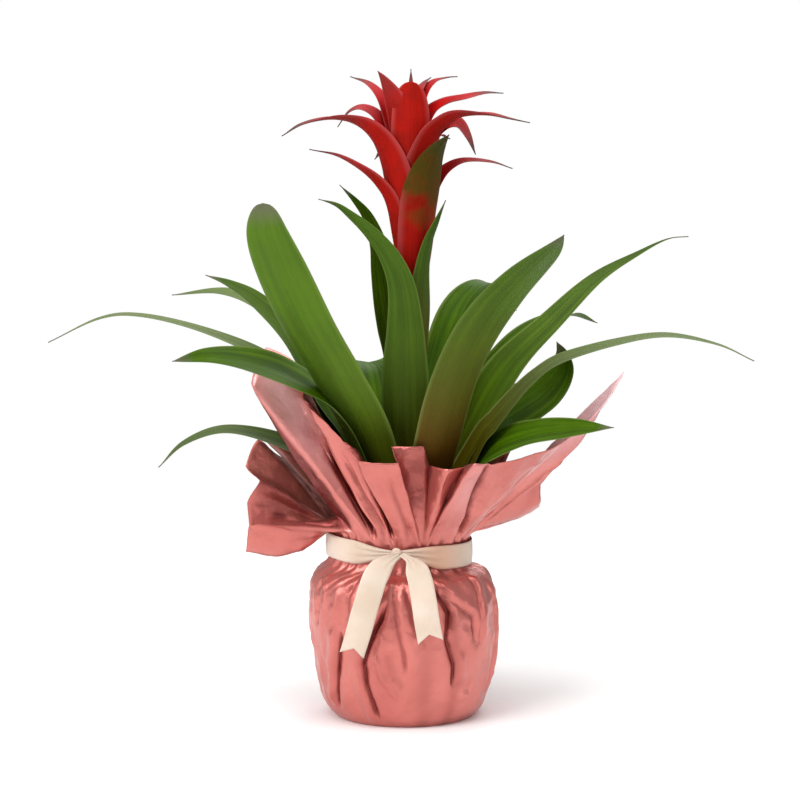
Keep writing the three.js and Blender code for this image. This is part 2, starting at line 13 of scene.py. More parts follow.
import bpy
import numpy as np
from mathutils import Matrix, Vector


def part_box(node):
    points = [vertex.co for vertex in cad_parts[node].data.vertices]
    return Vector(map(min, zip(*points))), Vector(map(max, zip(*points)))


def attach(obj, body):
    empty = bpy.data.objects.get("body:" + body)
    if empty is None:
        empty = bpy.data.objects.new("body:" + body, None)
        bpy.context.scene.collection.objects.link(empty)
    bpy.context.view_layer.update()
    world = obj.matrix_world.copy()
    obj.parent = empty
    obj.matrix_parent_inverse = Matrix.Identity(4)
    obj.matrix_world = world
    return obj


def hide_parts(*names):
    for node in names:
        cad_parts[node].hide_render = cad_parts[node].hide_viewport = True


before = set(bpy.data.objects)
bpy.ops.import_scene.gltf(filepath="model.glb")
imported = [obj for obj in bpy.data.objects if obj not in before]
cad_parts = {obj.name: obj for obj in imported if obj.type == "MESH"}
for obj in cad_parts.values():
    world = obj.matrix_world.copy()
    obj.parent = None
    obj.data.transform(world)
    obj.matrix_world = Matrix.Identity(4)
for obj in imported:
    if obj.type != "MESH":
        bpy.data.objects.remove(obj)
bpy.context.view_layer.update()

# %% [markdown]
# ## The camera
# The photograph was taken from the front, a little above the middle of the plant, with a long lens, so
# upright things stay upright. A camera nearly two metres away with a 111 mm lens gives the same framing.

# %% Camera
def new_object(name, data):
    """An object that holds this data, linked to the scene."""
    made = bpy.data.objects.new(name, data)
    bpy.context.scene.collection.objects.link(made)
    return made


def look_at(made, target, azimuth, elevation, away):
    """Stands an object at a distance from a target, in a direction in degrees, and turns it to face it."""
    a, e = math.radians(azimuth), math.radians(elevation)
    way = Vector((math.cos(a) * math.cos(e), math.sin(a) * math.cos(e), math.sin(e)))
    made.location = target + way * away
    made.rotation_euler = way.to_track_quat("Z", "Y").to_euler()


MIDDLE = Vector((-0.00385, 0, 0.244))
camera = new_object("camera", bpy.data.cameras.new("camera"))
camera.data.lens = 111.06
look_at(camera, MIDDLE, azimuth=270, elevation=6, away=1.9)
bpy.context.scene.camera = camera
print("camera at", [round(v, 3) for v in camera.location])

# %% [markdown]
# ## Lines and surfaces as arrays
# Leaves, film and ribbon are all thin surfaces, and each is a function of two numbers: how far along and
# how far across. numpy works such a function out for a whole grid at once. Modelling by hand or with a
# subdivided cage would also do, but a formula keeps the shape editable by a few named sizes.


# %% Small helpers for arrays
def mix(a, b, share):
    """The value that lies this share of the way from a to b."""
    return a + (b - a) * share


def smoothstep(x, low, high):
    """0 below low, 1 above high, and between them the soft step 3x^2 - 2x^3."""
    x = np.clip((x - low) / (high - low), 0, 1)
    return x * x * (3 - 2 * x)


def unit(v):
    """Each vector divided by its length."""
    return v / np.linalg.norm(v, axis=-1, keepdims=True)


def around(azimuth):
    """The level direction at an azimuth in degrees."""
    a = np.radians(azimuth)
    return np.stack([np.cos(a), np.sin(a), np.zeros_like(a)], -1)


# %% A smooth line through given points
def cubic(points, s):
    """A smooth line through points, at places s counted in points. Between two points it is the cubic
    whose slope at each of them is half the step from the point before it to the point after it."""
    p = np.concatenate([2 * points[:1] - points[1:2], points, 2 * points[-1:] - points[-2:-1]])
    k = np.clip(np.asarray(s).astype(int), 0, len(points) - 2)
    f = (s - k).reshape(-1, *[1] * (points.ndim - 1))
    a, b, c, d = p[k], p[k + 1], p[k + 2], p[k + 3]
    return b + f / 2 * (c - a + f * (2 * a - 5 * b + 4 * c - d + f * (3 * b - 3 * c + d - a)))


def smooth_path(points, t):
    """Places and directions at shares t of the length of a smooth line through points: the line is
    walked in small steps, its length is summed, and t is looked up in that sum."""
    points = np.asarray(points, float)
    line = cubic(points, np.linspace(0, len(points) - 1, 80 * len(points)))
    run = np.concatenate([[0], np.cumsum(np.linalg.norm(np.diff(line, axis=0), axis=1))])
    slope = unit(np.gradient(line, axis=0))
    pick = lambda values: np.stack([np.interp(t * run[-1], run, column) for column in values.T], -1)
    return pick(line), unit(pick(slope))


# %% Soft random relief
def ripple(points, wavelength, seed, waves=16):
    """Relief of about -1 to 1: a sum of plane sine waves of nearly one wavelength, in seeded directions."""
    rng = np.random.default_rng(seed)
    way = unit(rng.normal(size=(waves, 3))) * rng.uniform(0.7, 1.4, (waves, 1)) * 2 * np.pi / wavelength
    total = np.sin(points @ way.T + rng.uniform(0, 2 * np.pi, waves)).sum(-1)
    return total / math.sqrt(2 * waves)


# %% Grids into meshes
MM = 0.001


def quads(rows, columns, wrap=False, first=0):
    """The four corners of each face of a grid whose points are numbered row by row, from first."""
    r, c = np.meshgrid(np.arange(rows - 1), np.arange(columns if wrap else columns - 1), indexing="ij")
    right = (c + 1) % columns
    corners = [r * columns + c, r * columns + right, (r + 1) * columns + right, (r + 1) * columns + c]
    return np.stack(corners, -1).reshape(-1, 4) + first


def volume(points, faces):
    """The volume inside a closed surface of quads: the sum of the cones from the origin to each face."""
    a, b, c, d = points[faces].transpose(1, 0, 2)
    return ((a * np.cross(b, c)).sum() + (a * np.cross(c, d)).sum()) / 6


def mesh_of(name, points, faces, uv=None, **attributes):
    """A smooth-shaded mesh from points in millimetres, with its own UV map and values at the points."""
    mesh = bpy.data.meshes.new(name)
    mesh.from_pydata((points * MM).tolist(), [], [face.tolist() for face in faces])
    mesh.shade_smooth()
    if uv is not None:
        at = np.empty(len(mesh.loops), int)
        mesh.loops.foreach_get("vertex_index", at)
        mesh.uv_layers.new(name="strap").data.foreach_set("uv", uv[at].ravel())
    for key, values in attributes.items():
        held = np.broadcast_to(np.asarray(values, float), len(points))
        mesh.attributes.new(key, "FLOAT", "POINT").data.foreach_set("value", held.copy())
    mesh.update()
    return mesh


def place(name, mesh, materials, slot, *nodes):
    """Adds a piece that rides on the plant, stands for CAD nodes and takes the given materials. Its slot is
    not used.
    """
    made = new_object(name, mesh)
    for material in materials:
        mesh.materials.append(material)
    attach(made, "root")
    if nodes:
        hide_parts(*nodes)
    return made


def stacked(arrays, *width):
    """Several grids of numbers, or of vectors of this width, as one list."""
    return np.concatenate([a.reshape(-1, *width) for a in arrays])


def joined(grids, faces_of):
    """Several grids as one: their points and faces, numbered one after the other, and each one's count."""
    counts = [grid.shape[0] * grid.shape[1] for grid in grids]
    first = np.cumsum([0] + counts)
    faces = [face for grid, start in zip(grids, first) for face in faces_of(grid, start)]
    return stacked(grids, 3), faces, counts


def thicken(piece, thickness, offset, back=0):
    """Gives a sheet its thickness in millimetres, and its back the material that comes so many slots on."""
    wall = piece.modifiers.new("thickness", "SOLIDIFY")
    wall.thickness, wall.offset, wall.material_offset = thickness * MM, offset, back


# %% [markdown]
# ## Building materials from nodes
# A living leaf, a metallised film and a woven satin have little in common but two effects: cloudy
# variation, and fine lines that run along the piece. Each is a node group, built once and placed in a
# material with its own numbers. The shader itself stays in the material.


# %% Node helpers
def add(tree, kind, inputs=(), **settings):
    """A new shader node, its settings set, and each input linked to a socket or given a value."""
    made = tree.nodes.new("ShaderNode" + kind)
    for key, value in settings.items():
        setattr(made, key, value)
    for key, value in dict(inputs).items():
        if isinstance(value, bpy.types.NodeSocket):
            tree.links.new(value, made.inputs[key])
        else:
            made.inputs[key].default_value = value
    return made


def out_of(kind, inputs, output=0, **settings):
    """One output of a new node. The node joins the tree of the first socket among its inputs."""
    tree = next(value.id_data for value in inputs.values() if isinstance(value, bpy.types.NodeSocket))
    return add(tree, kind, inputs, **settings).outputs[output]


def times(a, b, plus=0.0):
    """a * b + plus, each a socket or a number."""
    return out_of("Math", {0: a, 1: b, 2: plus}, operation="MULTIPLY_ADD")


def blend(share, a, b):
    """Colour a with this share of colour b in it."""
    return out_of("Mix", {0: share, 6: a, 7: b}, 2, data_type="RGBA")


def rise(value, low, high, top=1.0):
    """0 below low and top above high, with a soft step between them. low may be the higher one."""
    inputs = {0: value, 1: low, 2: high, 3: 0.0, 4: top}
    return out_of("MapRange", inputs, interpolation_type="SMOOTHSTEP")


def bump(height, distance, strength=1.0):
    """A normal tilted by a height between 0 and 1 that stands for distance in metres."""
    return out_of("Bump", {"Height": height, "Distance": distance, "Strength": strength})


def paint(red, green, blue):
    """A colour given in the 0 to 255 of a picture, as the linear light that shaders work in."""
    share = np.array([red, green, blue]) / 255
    linear = np.where(share <= 0.04045, share / 12.92, ((share + 0.055) / 1.055) ** 2.4)
    return (*linear, 1.0)


def layers(palette, lightness, **coats):
    """The palette's dark and light mixed by lightness, then its other colours over them by their shares."""
    colour = blend(lightness, paint(*palette["dark"]), paint(*palette["light"]))
    for name, share in coats.items():
        colour = blend(share, colour, paint(*palette[name]))
    return colour


def new_material(name):
    """An empty material and its tree."""
    made = bpy.data.materials.new(name)
    made.use_nodes = True
    made.node_tree.nodes.clear()
    return made, made.node_tree


def shade(made, **inputs):
    """Gives a material its Principled shader, with a socket or a value for some of the shader's inputs. An
    underscore stands for a space."""
    tree = made.node_tree
    shader = add(tree, "BsdfPrincipled", {key.replace("_", " "): value for key, value in inputs.items()})
    tree.links.new(shader.outputs[0], add(tree, "OutputMaterial").inputs[0])
    return made


# %% The two shared effects
def new_group(name, inputs):
    """A node group with float or vector inputs and one float output: its tree, start and end sockets."""
    tree = bpy.data.node_groups.new(name, "ShaderNodeTree")
    for key, kind in inputs.items():
        tree.interface.new_socket(key, in_out="INPUT", socket_type="NodeSocket" + kind)
    tree.interface.new_socket("Value", in_out="OUTPUT", socket_type="NodeSocketFloat")
    return tree, tree.nodes.new("NodeGroupInput").outputs, tree.nodes.new("NodeGroupOutput").inputs


def cloud_group():
    """Cloudy variation from 0 to 1: noise on the piece's own coordinates, its middle tones spread out."""
    tree, given, end = new_group("cloud", {"Vector": "Vector", "Scale": "Float"})
    noise = out_of("TexNoise", {"Vector": given["Vector"], "Scale": given["Scale"], "Detail": 4.0})
    tree.links.new(rise(noise, 0.3, 0.7), end[0])
    return tree


def lines_group():
    """Fine lines along a strap: noise squeezed across the strap and drawn out along it."""
    kinds = dict.fromkeys(("Across", "Along", "Count", "Drift"), "Float")
    tree, given, end = new_group("lines_along", kinds)
    squeezed, drawn = times(given["Across"], given["Count"]), times(given["Along"], given["Drift"])
    where = out_of("CombineXYZ", {0: squeezed, 1: drawn})
    noise = out_of("TexNoise", {"Vector": where, "Scale": 1.0, "Detail": 2.0})
    tree.links.new(rise(noise, 0.35, 0.65), end[0])
    return tree


GROUPS = {"cloud": cloud_group(), "lines": lines_group()}


def clouds(where, scale):
    """Cloudy variation on the given coordinates."""
    return out_of("Group", {0: where, 1: scale}, node_tree=GROUPS["cloud"])


def fine_lines(across, along, count, drift):
    """Lines along a strap, count of them across it and drifting drift times along it."""
    return out_of("Group", {0: across, 1: along, 2: count, 3: drift}, node_tree=GROUPS["lines"])


def own_place(tree):
    """The piece's Object coordinates."""
    return add(tree, "TexCoord").outputs["Object"]


def strap_places(tree):
    """The Object coordinates, how far across and along its strap a point lies, and how near a margin: 0 in
    the middle and 1 at either margin."""
    across, along, _ = add(tree, "SeparateXYZ", {0: add(tree, "UVMap", uv_map="strap").outputs[0]}).outputs
    edge = out_of("Math", {0: times(across, 2.0, -1.0)}, operation="ABSOLUTE")
    return own_place(tree), across, along, edge


def values_of(tree, *names):
    """Values held at the mesh's points."""
    return [add(tree, "Attribute", attribute_name=name).outputs["Fac"] for name in names]


print("node groups:", [tree.name for tree in GROUPS.values()])

# %% [markdown]
# ## The leaf's skin
# Bromeliad leaves are leathery and smooth. Fine veins run from the base to the tip, the base is flushed
# with red-brown where it sits in the rosette, the underside is paler with a bloom of grey scales, and
# the last centimetre is dry. All of this follows the strap, so the pattern reads the leaf's own map of
# across and along. Three values held by each leaf keep the leaves from looking cloned: tone makes it
# lighter or darker, flush reddens its base, and faded greys its far part, as in an old outer leaf.

# %% Leaf material
LEAF_COLOURS = dict(
    dark=(20, 50, 0), light=(78, 114, 4), vein=(104, 124, 18), flush=(92, 44, 12), base=(56, 44, 0),
    margin=(128, 144, 80), underside=(96, 126, 52), faded=(122, 132, 96), tip=(104, 100, 84),
)


def leaf_material():
    made, tree = new_material("leaf_skin")
    here, across, along, edge = strap_places(tree)
    tone, flush, faded, under = values_of(tree, "tone", "flush", "faded", "underside")
    cloud = clouds(here, 22.0)
    veins = fine_lines(across, along, 46.0, 2.2)
    bands = fine_lines(across, along, 5.0, 1.1)
    light = times(bands, 0.5, times(cloud, 0.35, times(tone, 1.0, -0.25)))
    colour = layers(
        LEAF_COLOURS, rise(light, -0.6, 1.1),
        vein=times(veins, 0.16),
        flush=times(flush, rise(along, 0.8, 0.1, 0.8)),
        base=rise(along, 0.42, 0.12, 0.55),
        margin=rise(edge, 0.86, 1.0, 0.4),
        underside=times(under, rise(along, 0.15, 0.5, 0.35)),
        faded=times(faded, rise(along, 0.3, 0.8, 0.75)),
        tip=rise(along, 0.93, 1.0, 0.8),
    )
    relief = times(veins, 0.7, times(cloud, 0.6))
    return shade(
        made, Base_Color=colour, Roughness=times(cloud, 0.12, 0.38), Normal=bump(relief, 0.00025, 0.7),
        Specular_IOR_Level=0.05,
    )


leaf_skin = leaf_material()

# %% [markdown]
# ## Strap leaves
# A bromeliad leaf is one strap: it leaves the stem as a broad sheath, rises, arches over and narrows to
# a point. It is channelled along the middle, so that rain runs into the cup. A leaf here is a section
# carried along a spine of a few given points. The same sizes made its solid, so the fine leaf lies
# where the solid does. A plane bent by a curve modifier could do it, but the roll along the leaf and
# the cup of its section are easier to say in a formula.

# %% One blade
# The usual sizes. cup is how hollow the section is and roll how far it is turned, at the base and the tip.
BLADE = dict(
    base=0.8, taper=0.45, power=2.0, blunt=1.0, cup=(0.34, 0.2), roll=(0, 0), x=0.0, wave=0.05, tone=0.0,
    flush=0.0, faded=0.0,
)
BLADE_ROWS, BLADE_COLUMNS = 84, 16
BLADE_THICK = 1.2
TIP_WIDTH = 0.7
GROOVE_DEPTH, GROOVE_WIDTH = 0.035, 0.16
WAVES_ALONG = (2.2, 3.2)
ROWS_TO_TIP = 1.25


def blade(shape, seed, rows=BLADE_ROWS, columns=BLADE_COLUMNS):
    """A strap along a spine, as a closed grid of rows by a loop that runs over its upper face and back
    under it. spine holds points (out, up, aside). The width swells from the base's share to 1 at the
    taper, and beyond it is (1 - s^power)^blunt, s being the share of the way on to the tip. The section is
    centre + side * half * u + up * lift, and lift is the cup, half * cup * u^2, less a groove along the
    middle, with waves on the margins, and half the thickness added above or taken off below."""
    b = {**BLADE, **shape}
    rng = np.random.default_rng(seed)
    spine = np.array([(*point, 0)[:3] for point in b["spine"]], float)
    out = around(float(b["azimuth"]))
    aside = np.array([-out[1], out[0], 0])
    points = spine[:, :1] * out + spine[:, 2:] * aside + spine[:, 1:2] * [0, 0, 1] + [b["x"], 0, 0]
    t = 1 - (1 - np.linspace(0, 1, rows + 1)) ** ROWS_TO_TIP
    centre, along = smooth_path(points, t)
    level = unit(aside - along * (along @ aside)[:, None])
    roll = np.radians(mix(*b["roll"], t))[:, None]
    side = level * np.cos(roll) + np.cross(along, level) * np.sin(roll)
    up = np.cross(along, side)

    swell = mix(b["base"], 1, np.sin(np.minimum(t / b["taper"], 1) * np.pi / 2))
    narrow = (1 - np.maximum(0, (t - b["taper"]) / (1 - b["taper"])) ** b["power"]) ** b["blunt"]
    half = np.maximum(TIP_WIDTH, b["width"] * swell * narrow)[:, None] / 2
    u = np.sin(np.linspace(-np.pi / 2, np.pi / 2, columns + 1))[None, :]
    t = t[:, None]
    cup = half * mix(*b["cup"], t) * u**2
    groove = GROOVE_DEPTH * half * np.exp(-((u / GROOVE_WIDTH) ** 2))
    turns = rng.uniform(*WAVES_ALONG) * t + rng.uniform() + 0.25 * u
    waves = b["wave"] * half * np.sin(2 * np.pi * turns) * u**2 * smoothstep(t, 0.15, 0.4)
    thick = BLADE_THICK * (1 - 0.75 * u**4) * (1 - 0.35 * t) / 2
    faces = [
        centre[:, None] + side[:, None] * (half * u)[..., None]
        + up[:, None] * (cup - groove + waves + face * thick)[..., None]
        for face in (1, -1)
    ]
    loop = np.concatenate([faces[0], faces[1][:, ::-1]], 1)
    u, t = np.broadcast_arrays(np.concatenate([u, u[:, ::-1]], 1), t)
    uv = np.stack([0.5 + 0.5 * u, t], -1)
    under = np.broadcast_to(np.arange(loop.shape[1]) > columns, loop.shape[:2])
    return loop, uv, under


def closed_loops(loop, first=0):
    """The faces of a closed blade: its long sides, and a row of quads across each end."""
    rows, around_it = loop.shape[:2]
    near = np.arange(around_it // 2)
    far = around_it - 1 - near
    end = np.stack([near[:-1], near[1:], far[1:], far[:-1]], -1)
    faces = np.concatenate([quads(rows, around_it, wrap=True), end[:, ::-1], end + (rows - 1) * around_it])
    if volume(loop.reshape(-1, 3), faces) < 0:
        faces = faces[:, ::-1]
    return faces + first


# %% The leaves, from the innermost and steepest to the outermost
def strap(azimuth, width, **sizes):
    """The sizes of one strap: its azimuth, its width and those that differ from the usual."""
    return dict(azimuth=azimuth, width=width, **sizes)


LEAVES = {
    "front_bract": strap(270, 36, base=0.86, taper=0.42, power=1, cup=(0.35, 0.2), tone=-0.25, flush=0.3,
        spine=[(15, 150, 4), (22, 212, 1), (30, 262), (31, 304), (31, 334, -3), (31, 356, -12),
               (32, 374, -26), (33, 388, -42), (34, 395, -52), (35, 399, -65)]),
    "right_bract": strap(318, 30, base=0.9, taper=0.4, power=1.4, tone=-0.25, flush=2.0, spine=[
        (10, 205), (16, 300), (19, 342), (24, 365), (32, 381), (41, 398)]),
    "left_bract": strap(110, 26, power=1.4, tone=-0.15, flush=0.3, spine=[
        (13, 185, -8), (14, 245, -4), (14, 282, 1.5), (14, 300, 6), (14, 320, 10.5), (14, 343, 14.5),
        (14, 364, 17.5), (15, 384, 25), (16, 397, 35), (17, 409, 47)]),
    "front_left": strap(228, 46, base=0.75, taper=0.5, power=5, blunt=0.45, roll=(10, 16), cup=(0.3, 0.06),
        tone=0.25, flush=0.35, wave=0.02, spine=[
        (16, 136), (42, 213), (78, 266), (110, 308), (134, 346), (149, 375), (153, 398)]),
    "front_right": strap(300, 43, taper=0.56, power=4, cup=(0.25, 0.06), tone=-0.1, flush=1.4, wave=0.02,
        spine=[(16, 132), (50, 211), (72, 258), (100, 295), (134, 325), (169, 348), (202, 367),
               (218, 378)]),
    "right_high": strap(358, 48, base=0.75, taper=0.35, power=1.25, blunt=1.6, roll=(22, 48),
        cup=(0.26, 0.15), tone=-0.15, flush=0.1, faded=0.2, spine=[
        (16, 140), (50, 214), (79, 267), (113, 304), (146, 337), (178, 357), (200, 368), (216, 370)]),
    "back_right": strap(60, 40, taper=0.5, power=2.2, cup=(0.34, 0.25), tone=-0.2, spine=[
        (14, 145), (42, 218), (76, 284), (104, 315), (136, 327), (164, 319), (186, 302)]),
    "right_behind": strap(42, 40, power=2.6, tone=-0.2, spine=[
        (14, 132), (50, 197), (84, 244), (115, 273), (147, 292), (180, 301), (214, 293)]),
    "right_long": strap(334, 44, taper=0.15, power=0.65, roll=(55, 18), cup=(0.25, 0.2), tone=-0.1,
        flush=0.6, faded=0.9, spine=[
        (16, 118), (61, 210), (76, 230), (91, 248), (109, 266), (130, 280), (173, 294), (212, 301),
        (251, 296), (279, 285)]),
    "right_curled": strap(18, 44, taper=0.6, power=2.2, roll=(20, 50), cup=(0.34, 0.25), tone=-0.2, spine=[
        (14, 116), (61, 211), (88, 229), (114, 245), (129, 262), (130, 276), (125, 286)]),
    "right_low": strap(325, 44, taper=0.5, power=1.8, roll=(26, 36), cup=(0.25, 0.1), tone=-0.05, spine=[
        (16, 106), (48, 174), (78, 208), (113, 224), (148, 231), (185, 235)]),
    "left_mid": strap(172, 36, taper=0.5, power=1.7, roll=(-20, -30), cup=(0.3, 0.15), tone=-0.2,
        faded=0.15, spine=[
        (14, 146), (39, 209), (63, 247), (89, 291), (116, 319), (137, 332), (156, 339)]),
    "left_pale": strap(157, 36, taper=0.4, power=1.5, roll=(-16, -22), cup=(0.34, 0.3), tone=0.1, faded=0.7,
        spine=[(14, 132), (43, 205), (72, 254), (100, 294), (123, 313), (158, 323), (202, 320)]),
    "left_long": strap(184, 32, taper=0.2, power=0.8, roll=(-30, -18), cup=(0.25, 0.2), tone=-0.1,
        flush=0.3, faded=1.0, spine=[
        (14, 118), (44, 200), (80, 254), (111, 279), (157, 299), (202, 310), (233, 308), (272, 290)]),
    "left_low": strap(214, 42, taper=0.55, roll=(-26, -40), cup=(0.22, 0.1), tone=-0.05, spine=[
        (16, 110), (41, 206), (68, 246), (104, 268), (138, 280), (172, 286), (203, 284)]),
    "left_droop": strap(190, 32, taper=0.35, power=1.3, roll=(-20, -22), cup=(0.3, 0.2), tone=-0.35,
        flush=0.1, faded=0.5, spine=[
        (15, 104), (40, 164), (68, 196), (101, 214), (139, 223), (170, 214), (190, 196)]),
    "back_left": strap(105, 46, taper=0.5, tone=-0.1, spine=[
        (14, 124), (40, 196), (64, 240), (92, 262), (130, 260), (165, 236)]),
    "back_high": strap(84, 40, taper=0.5, spine=[
        (13, 134), (38, 208), (66, 250), (104, 270), (150, 262), (190, 232)]),
    "back_far_left": strap(134, 38, power=1.8, tone=0.1, spine=[
        (14, 116), (44, 184), (76, 222), (108, 238), (135, 232), (152, 214)]),
    "back_low": strap(58, 36, power=1.8, tone=0.05, spine=[
        (15, 106), (46, 176), (80, 222), (120, 244), (162, 238), (196, 212)]),
}

for seed, (name, shape) in enumerate(LEAVES.items()):
    loop, uv, under = blade(shape, seed)
    held = {key: {**BLADE, **shape}[key] for key in ("tone", "flush", "faded")}
    held["underside"] = under.ravel()
    mesh = mesh_of("strap_" + name, loop.reshape(-1, 3), closed_loops(loop), uv.reshape(-1, 2), **held)
    place("strap_" + name, mesh, [leaf_skin], "leaf_green", "leaf_" + name)
print("leaves:", len(LEAVES), "faces each:", len(mesh.polygons))

# %% [markdown]
# ## The bract's skin
# The flower head is made of bracts, which are leaves that turn red. The colour is deepest in the cup,
# brick red on the outer faces, and fades through pink to a dry grey-green tip. The broad bract in front is
# half a leaf still: its upper half stays olive. Each bract holds two values: olive says how green its upper
# half is, and dry how far its tip has faded.

# %% Bract material
BRACT_COLOURS = dict(
    dark=(128, 0, 0), light=(168, 2, 2), vein=(176, 34, 28), underside=(150, 40, 26), faded=(166, 84, 88),
    margin=(178, 84, 84),
)
OLIVE_COLOURS = dict(dark=(66, 64, 10), light=(88, 60, 20))
DRY_TIP = (78, 70, 66)


def bract_material():
    made, tree = new_material("bract_skin")
    here, across, along, edge = strap_places(tree)
    under, olive, dry = values_of(tree, "underside", "olive", "dry")
    cloud = clouds(here, 45.0)
    veins = fine_lines(across, along, 22.0, 1.6)
    colour = layers(
        BRACT_COLOURS, cloud,
        vein=times(veins, 0.1),
        underside=times(under, 0.3),
        faded=times(dry, rise(along, 0.55, 0.95, 0.6)),
        margin=rise(edge, 0.7, 1.0, 0.45),
    )
    green = times(olive, rise(times(cloud, 0.3, along), 0.48, 0.82))
    colour = blend(green, colour, layers(OLIVE_COLOURS, cloud))
    colour = blend(times(dry, rise(along, 0.76, 0.97, 0.9)), colour, paint(*DRY_TIP))
    return shade(
        made, Base_Color=colour, Roughness=times(cloud, 0.1, 0.5), Normal=bump(veins, 0.0002, 0.6),
        Specular_IOR_Level=0.04,
    )


bract_skin = bract_material()

# %% [markdown]
# ## The flower head
# Nineteen bracts stand round a short heart. The inner ones are upright, the outer ones arch out and droop
# at their tips. They grow from one stem, so they are one piece here as in the solid.

# %% Bracts
HEAD = dict(base=0.8, taper=0.4, power=1.3, cup=(0.4, 0.25), x=4.5, wave=0.03, olive=0.0, dry=1.0)
BRACTS = [
    # The two long ones on the left, and the curled pair above them.
    strap(222, 32, base=0.6, power=1.0, cup=(0.6, 0.25), spine=[
        (8, 345), (14, 372), (17, 400, -1), (20, 425, -4), (25, 444, -12), (33, 455, -24), (46, 459, -38),
        (62, 455, -54), (73, 446, -66)]),
    strap(215, 22, base=0.9, taper=0.3, power=1.1, cup=(0.6, 0.3), spine=[
        (9, 340), (14, 367), (19, 394, -2), (25, 408, -7), (34, 420, -16), (48, 431, -29), (63, 436, -45)]),
    strap(160, 20, taper=0.55, roll=(0, -24), spine=[
        (4, 385), (12, 415), (20, 444), (28, 460), (40, 467), (51, 464), (60, 453)]),
    strap(138, 18, roll=(0, -20), spine=[(3, 400), (12, 432), (20, 454), (30, 474), (44, 486), (63, 492)]),
    # The upright ones of the crown.
    strap(240, 27, power=2.2, dry=0.25, spine=[
        (3, 400), (9, 436), (13, 462, -4), (16, 478, -9), (19, 488, -13), (21, 495, -17)]),
    strap(268, 30, base=0.7, taper=0.5, power=6, blunt=0.5, cup=(0.55, 0.25), dry=0.0, spine=[
        (8, 342), (13, 375), (14, 410), (14, 450), (13, 470), (12, 487)]),
    strap(90, 11, spine=[(2, 430), (6, 470), (9, 497)]),
    strap(60, 16, spine=[(2, 420), (4, 458), (9, 476), (20, 486), (31, 491)]),
    strap(48, 15, spine=[(2, 420), (6, 455), (14, 476), (26, 487), (42, 491), (54, 492)]),
    # The long ones on the right.
    strap(22, 20, power=1.2, roll=(0, 26), spine=[
        (3, 400), (8, 440), (16, 462), (28, 471), (44, 475), (62, 479), (77, 479)]),
    strap(315, 30, base=0.7, power=1.0, cup=(0.6, 0.25), spine=[
        (6, 365), (12, 410), (20, 442, 3), (29, 455, 9), (38, 461, 17), (51, 462, 30), (63, 459, 42),
        (74, 456, 53)]),
    strap(8, 22, taper=0.6, roll=(10, 40), spine=[
        (6, 400), (14, 436), (24, 452), (35, 455), (43, 446), (50, 432)]),
    strap(26, 20, taper=0.3, power=1.1, roll=(0, 26), spine=[
        (5, 355), (14, 390), (24, 412), (34, 422), (48, 427), (70, 426), (88, 421)]),
    # The broad olive-backed one in front.
    strap(302, 34, taper=0.45, power=1.9, cup=(0.55, 0.35), olive=1.0, dry=0.3, spine=[
        (10, 338), (14, 362), (17, 386), (22, 406), (30, 425), (41, 438), (53, 447)]),
    strap(20, 24, taper=0.6, power=2.2, spine=[(6, 345), (12, 385), (17, 410), (21, 430), (24, 440)]),
    # The ones behind.
    strap(62, 20, spine=[(4, 360), (14, 400), (26, 430), (44, 446), (66, 444)]),
    strap(94, 22, spine=[(4, 380), (14, 430), (28, 455), (52, 462), (78, 448)]),
    strap(118, 20, spine=[(4, 365), (14, 405), (26, 428), (42, 436), (60, 428)]),
    strap(88, 20, spine=[(4, 345), (14, 380), (30, 405), (54, 415), (78, 408)]),
]


# %% The heart: what the bracts stand on
def turned(profile, sides, centre=(0, 0)):
    """A surface of revolution: each point (radius, height) of a profile carried round a circle."""
    radius, height = np.asarray(profile, float).T
    angle = np.linspace(0, 2 * np.pi, sides, endpoint=False)
    x = centre[0] + radius[:, None] * np.cos(angle)
    y = centre[1] + radius[:, None] * np.sin(angle)
    return np.stack([x, y, np.broadcast_to(height[:, None], x.shape)], -1)


HEART_OUTLINE = np.array([(0.4, 338), (9, 341), (11, 372), (14, 408), (12, 436), (5, 454), (0.4, 458)])
heart = turned(cubic(HEART_OUTLINE, np.linspace(0, len(HEART_OUTLINE) - 1, 49)), 34, (HEAD["x"], 0))
parts = [blade({**HEAD, **b}, 100 + i, 60, 12) for i, b in enumerate(BRACTS)]
parts.append((heart, np.zeros((*heart.shape[:2], 2)), np.zeros(heart.shape[:2])))
grids, maps, under = zip(*parts)
points, faces, counts = joined(grids, closed_loops)
held = {key: np.repeat([{**HEAD, **b}[key] for b in BRACTS] + [0.0], counts) for key in ("olive", "dry")}
mesh = mesh_of("bract_rosette", points, faces, stacked(maps, 2), underside=stacked(under), **held)
place("bract_rosette", mesh, [bract_skin], "bract_red", "flower_head")
print("bracts:", len(BRACTS), "faces:", len(mesh.polygons))

# %% [markdown]
# ## The stem
# The leaves' sheaths are packed round a short stem, and the flower stem rises out of them. What shows
# between the leaves are the rings where sheaths end, so the outline is turned and the rings are added to
# it as a low spiral step.


# %% Stem material
def stem_material():
    made, tree = new_material("stem_skin")
    here = own_place(tree)
    cloud = clouds(here, 60.0)
    low = rise(out_of("SeparateXYZ", {0: here}, 2), 0.2, 0.1, 0.8)
    colour = layers(dict(dark=(84, 92, 34), light=(120, 104, 52), low=(92, 60, 30)), cloud, low=low)
    return shade(made, Base_Color=colour, Roughness=0.55, Normal=bump(cloud, 0.0004))


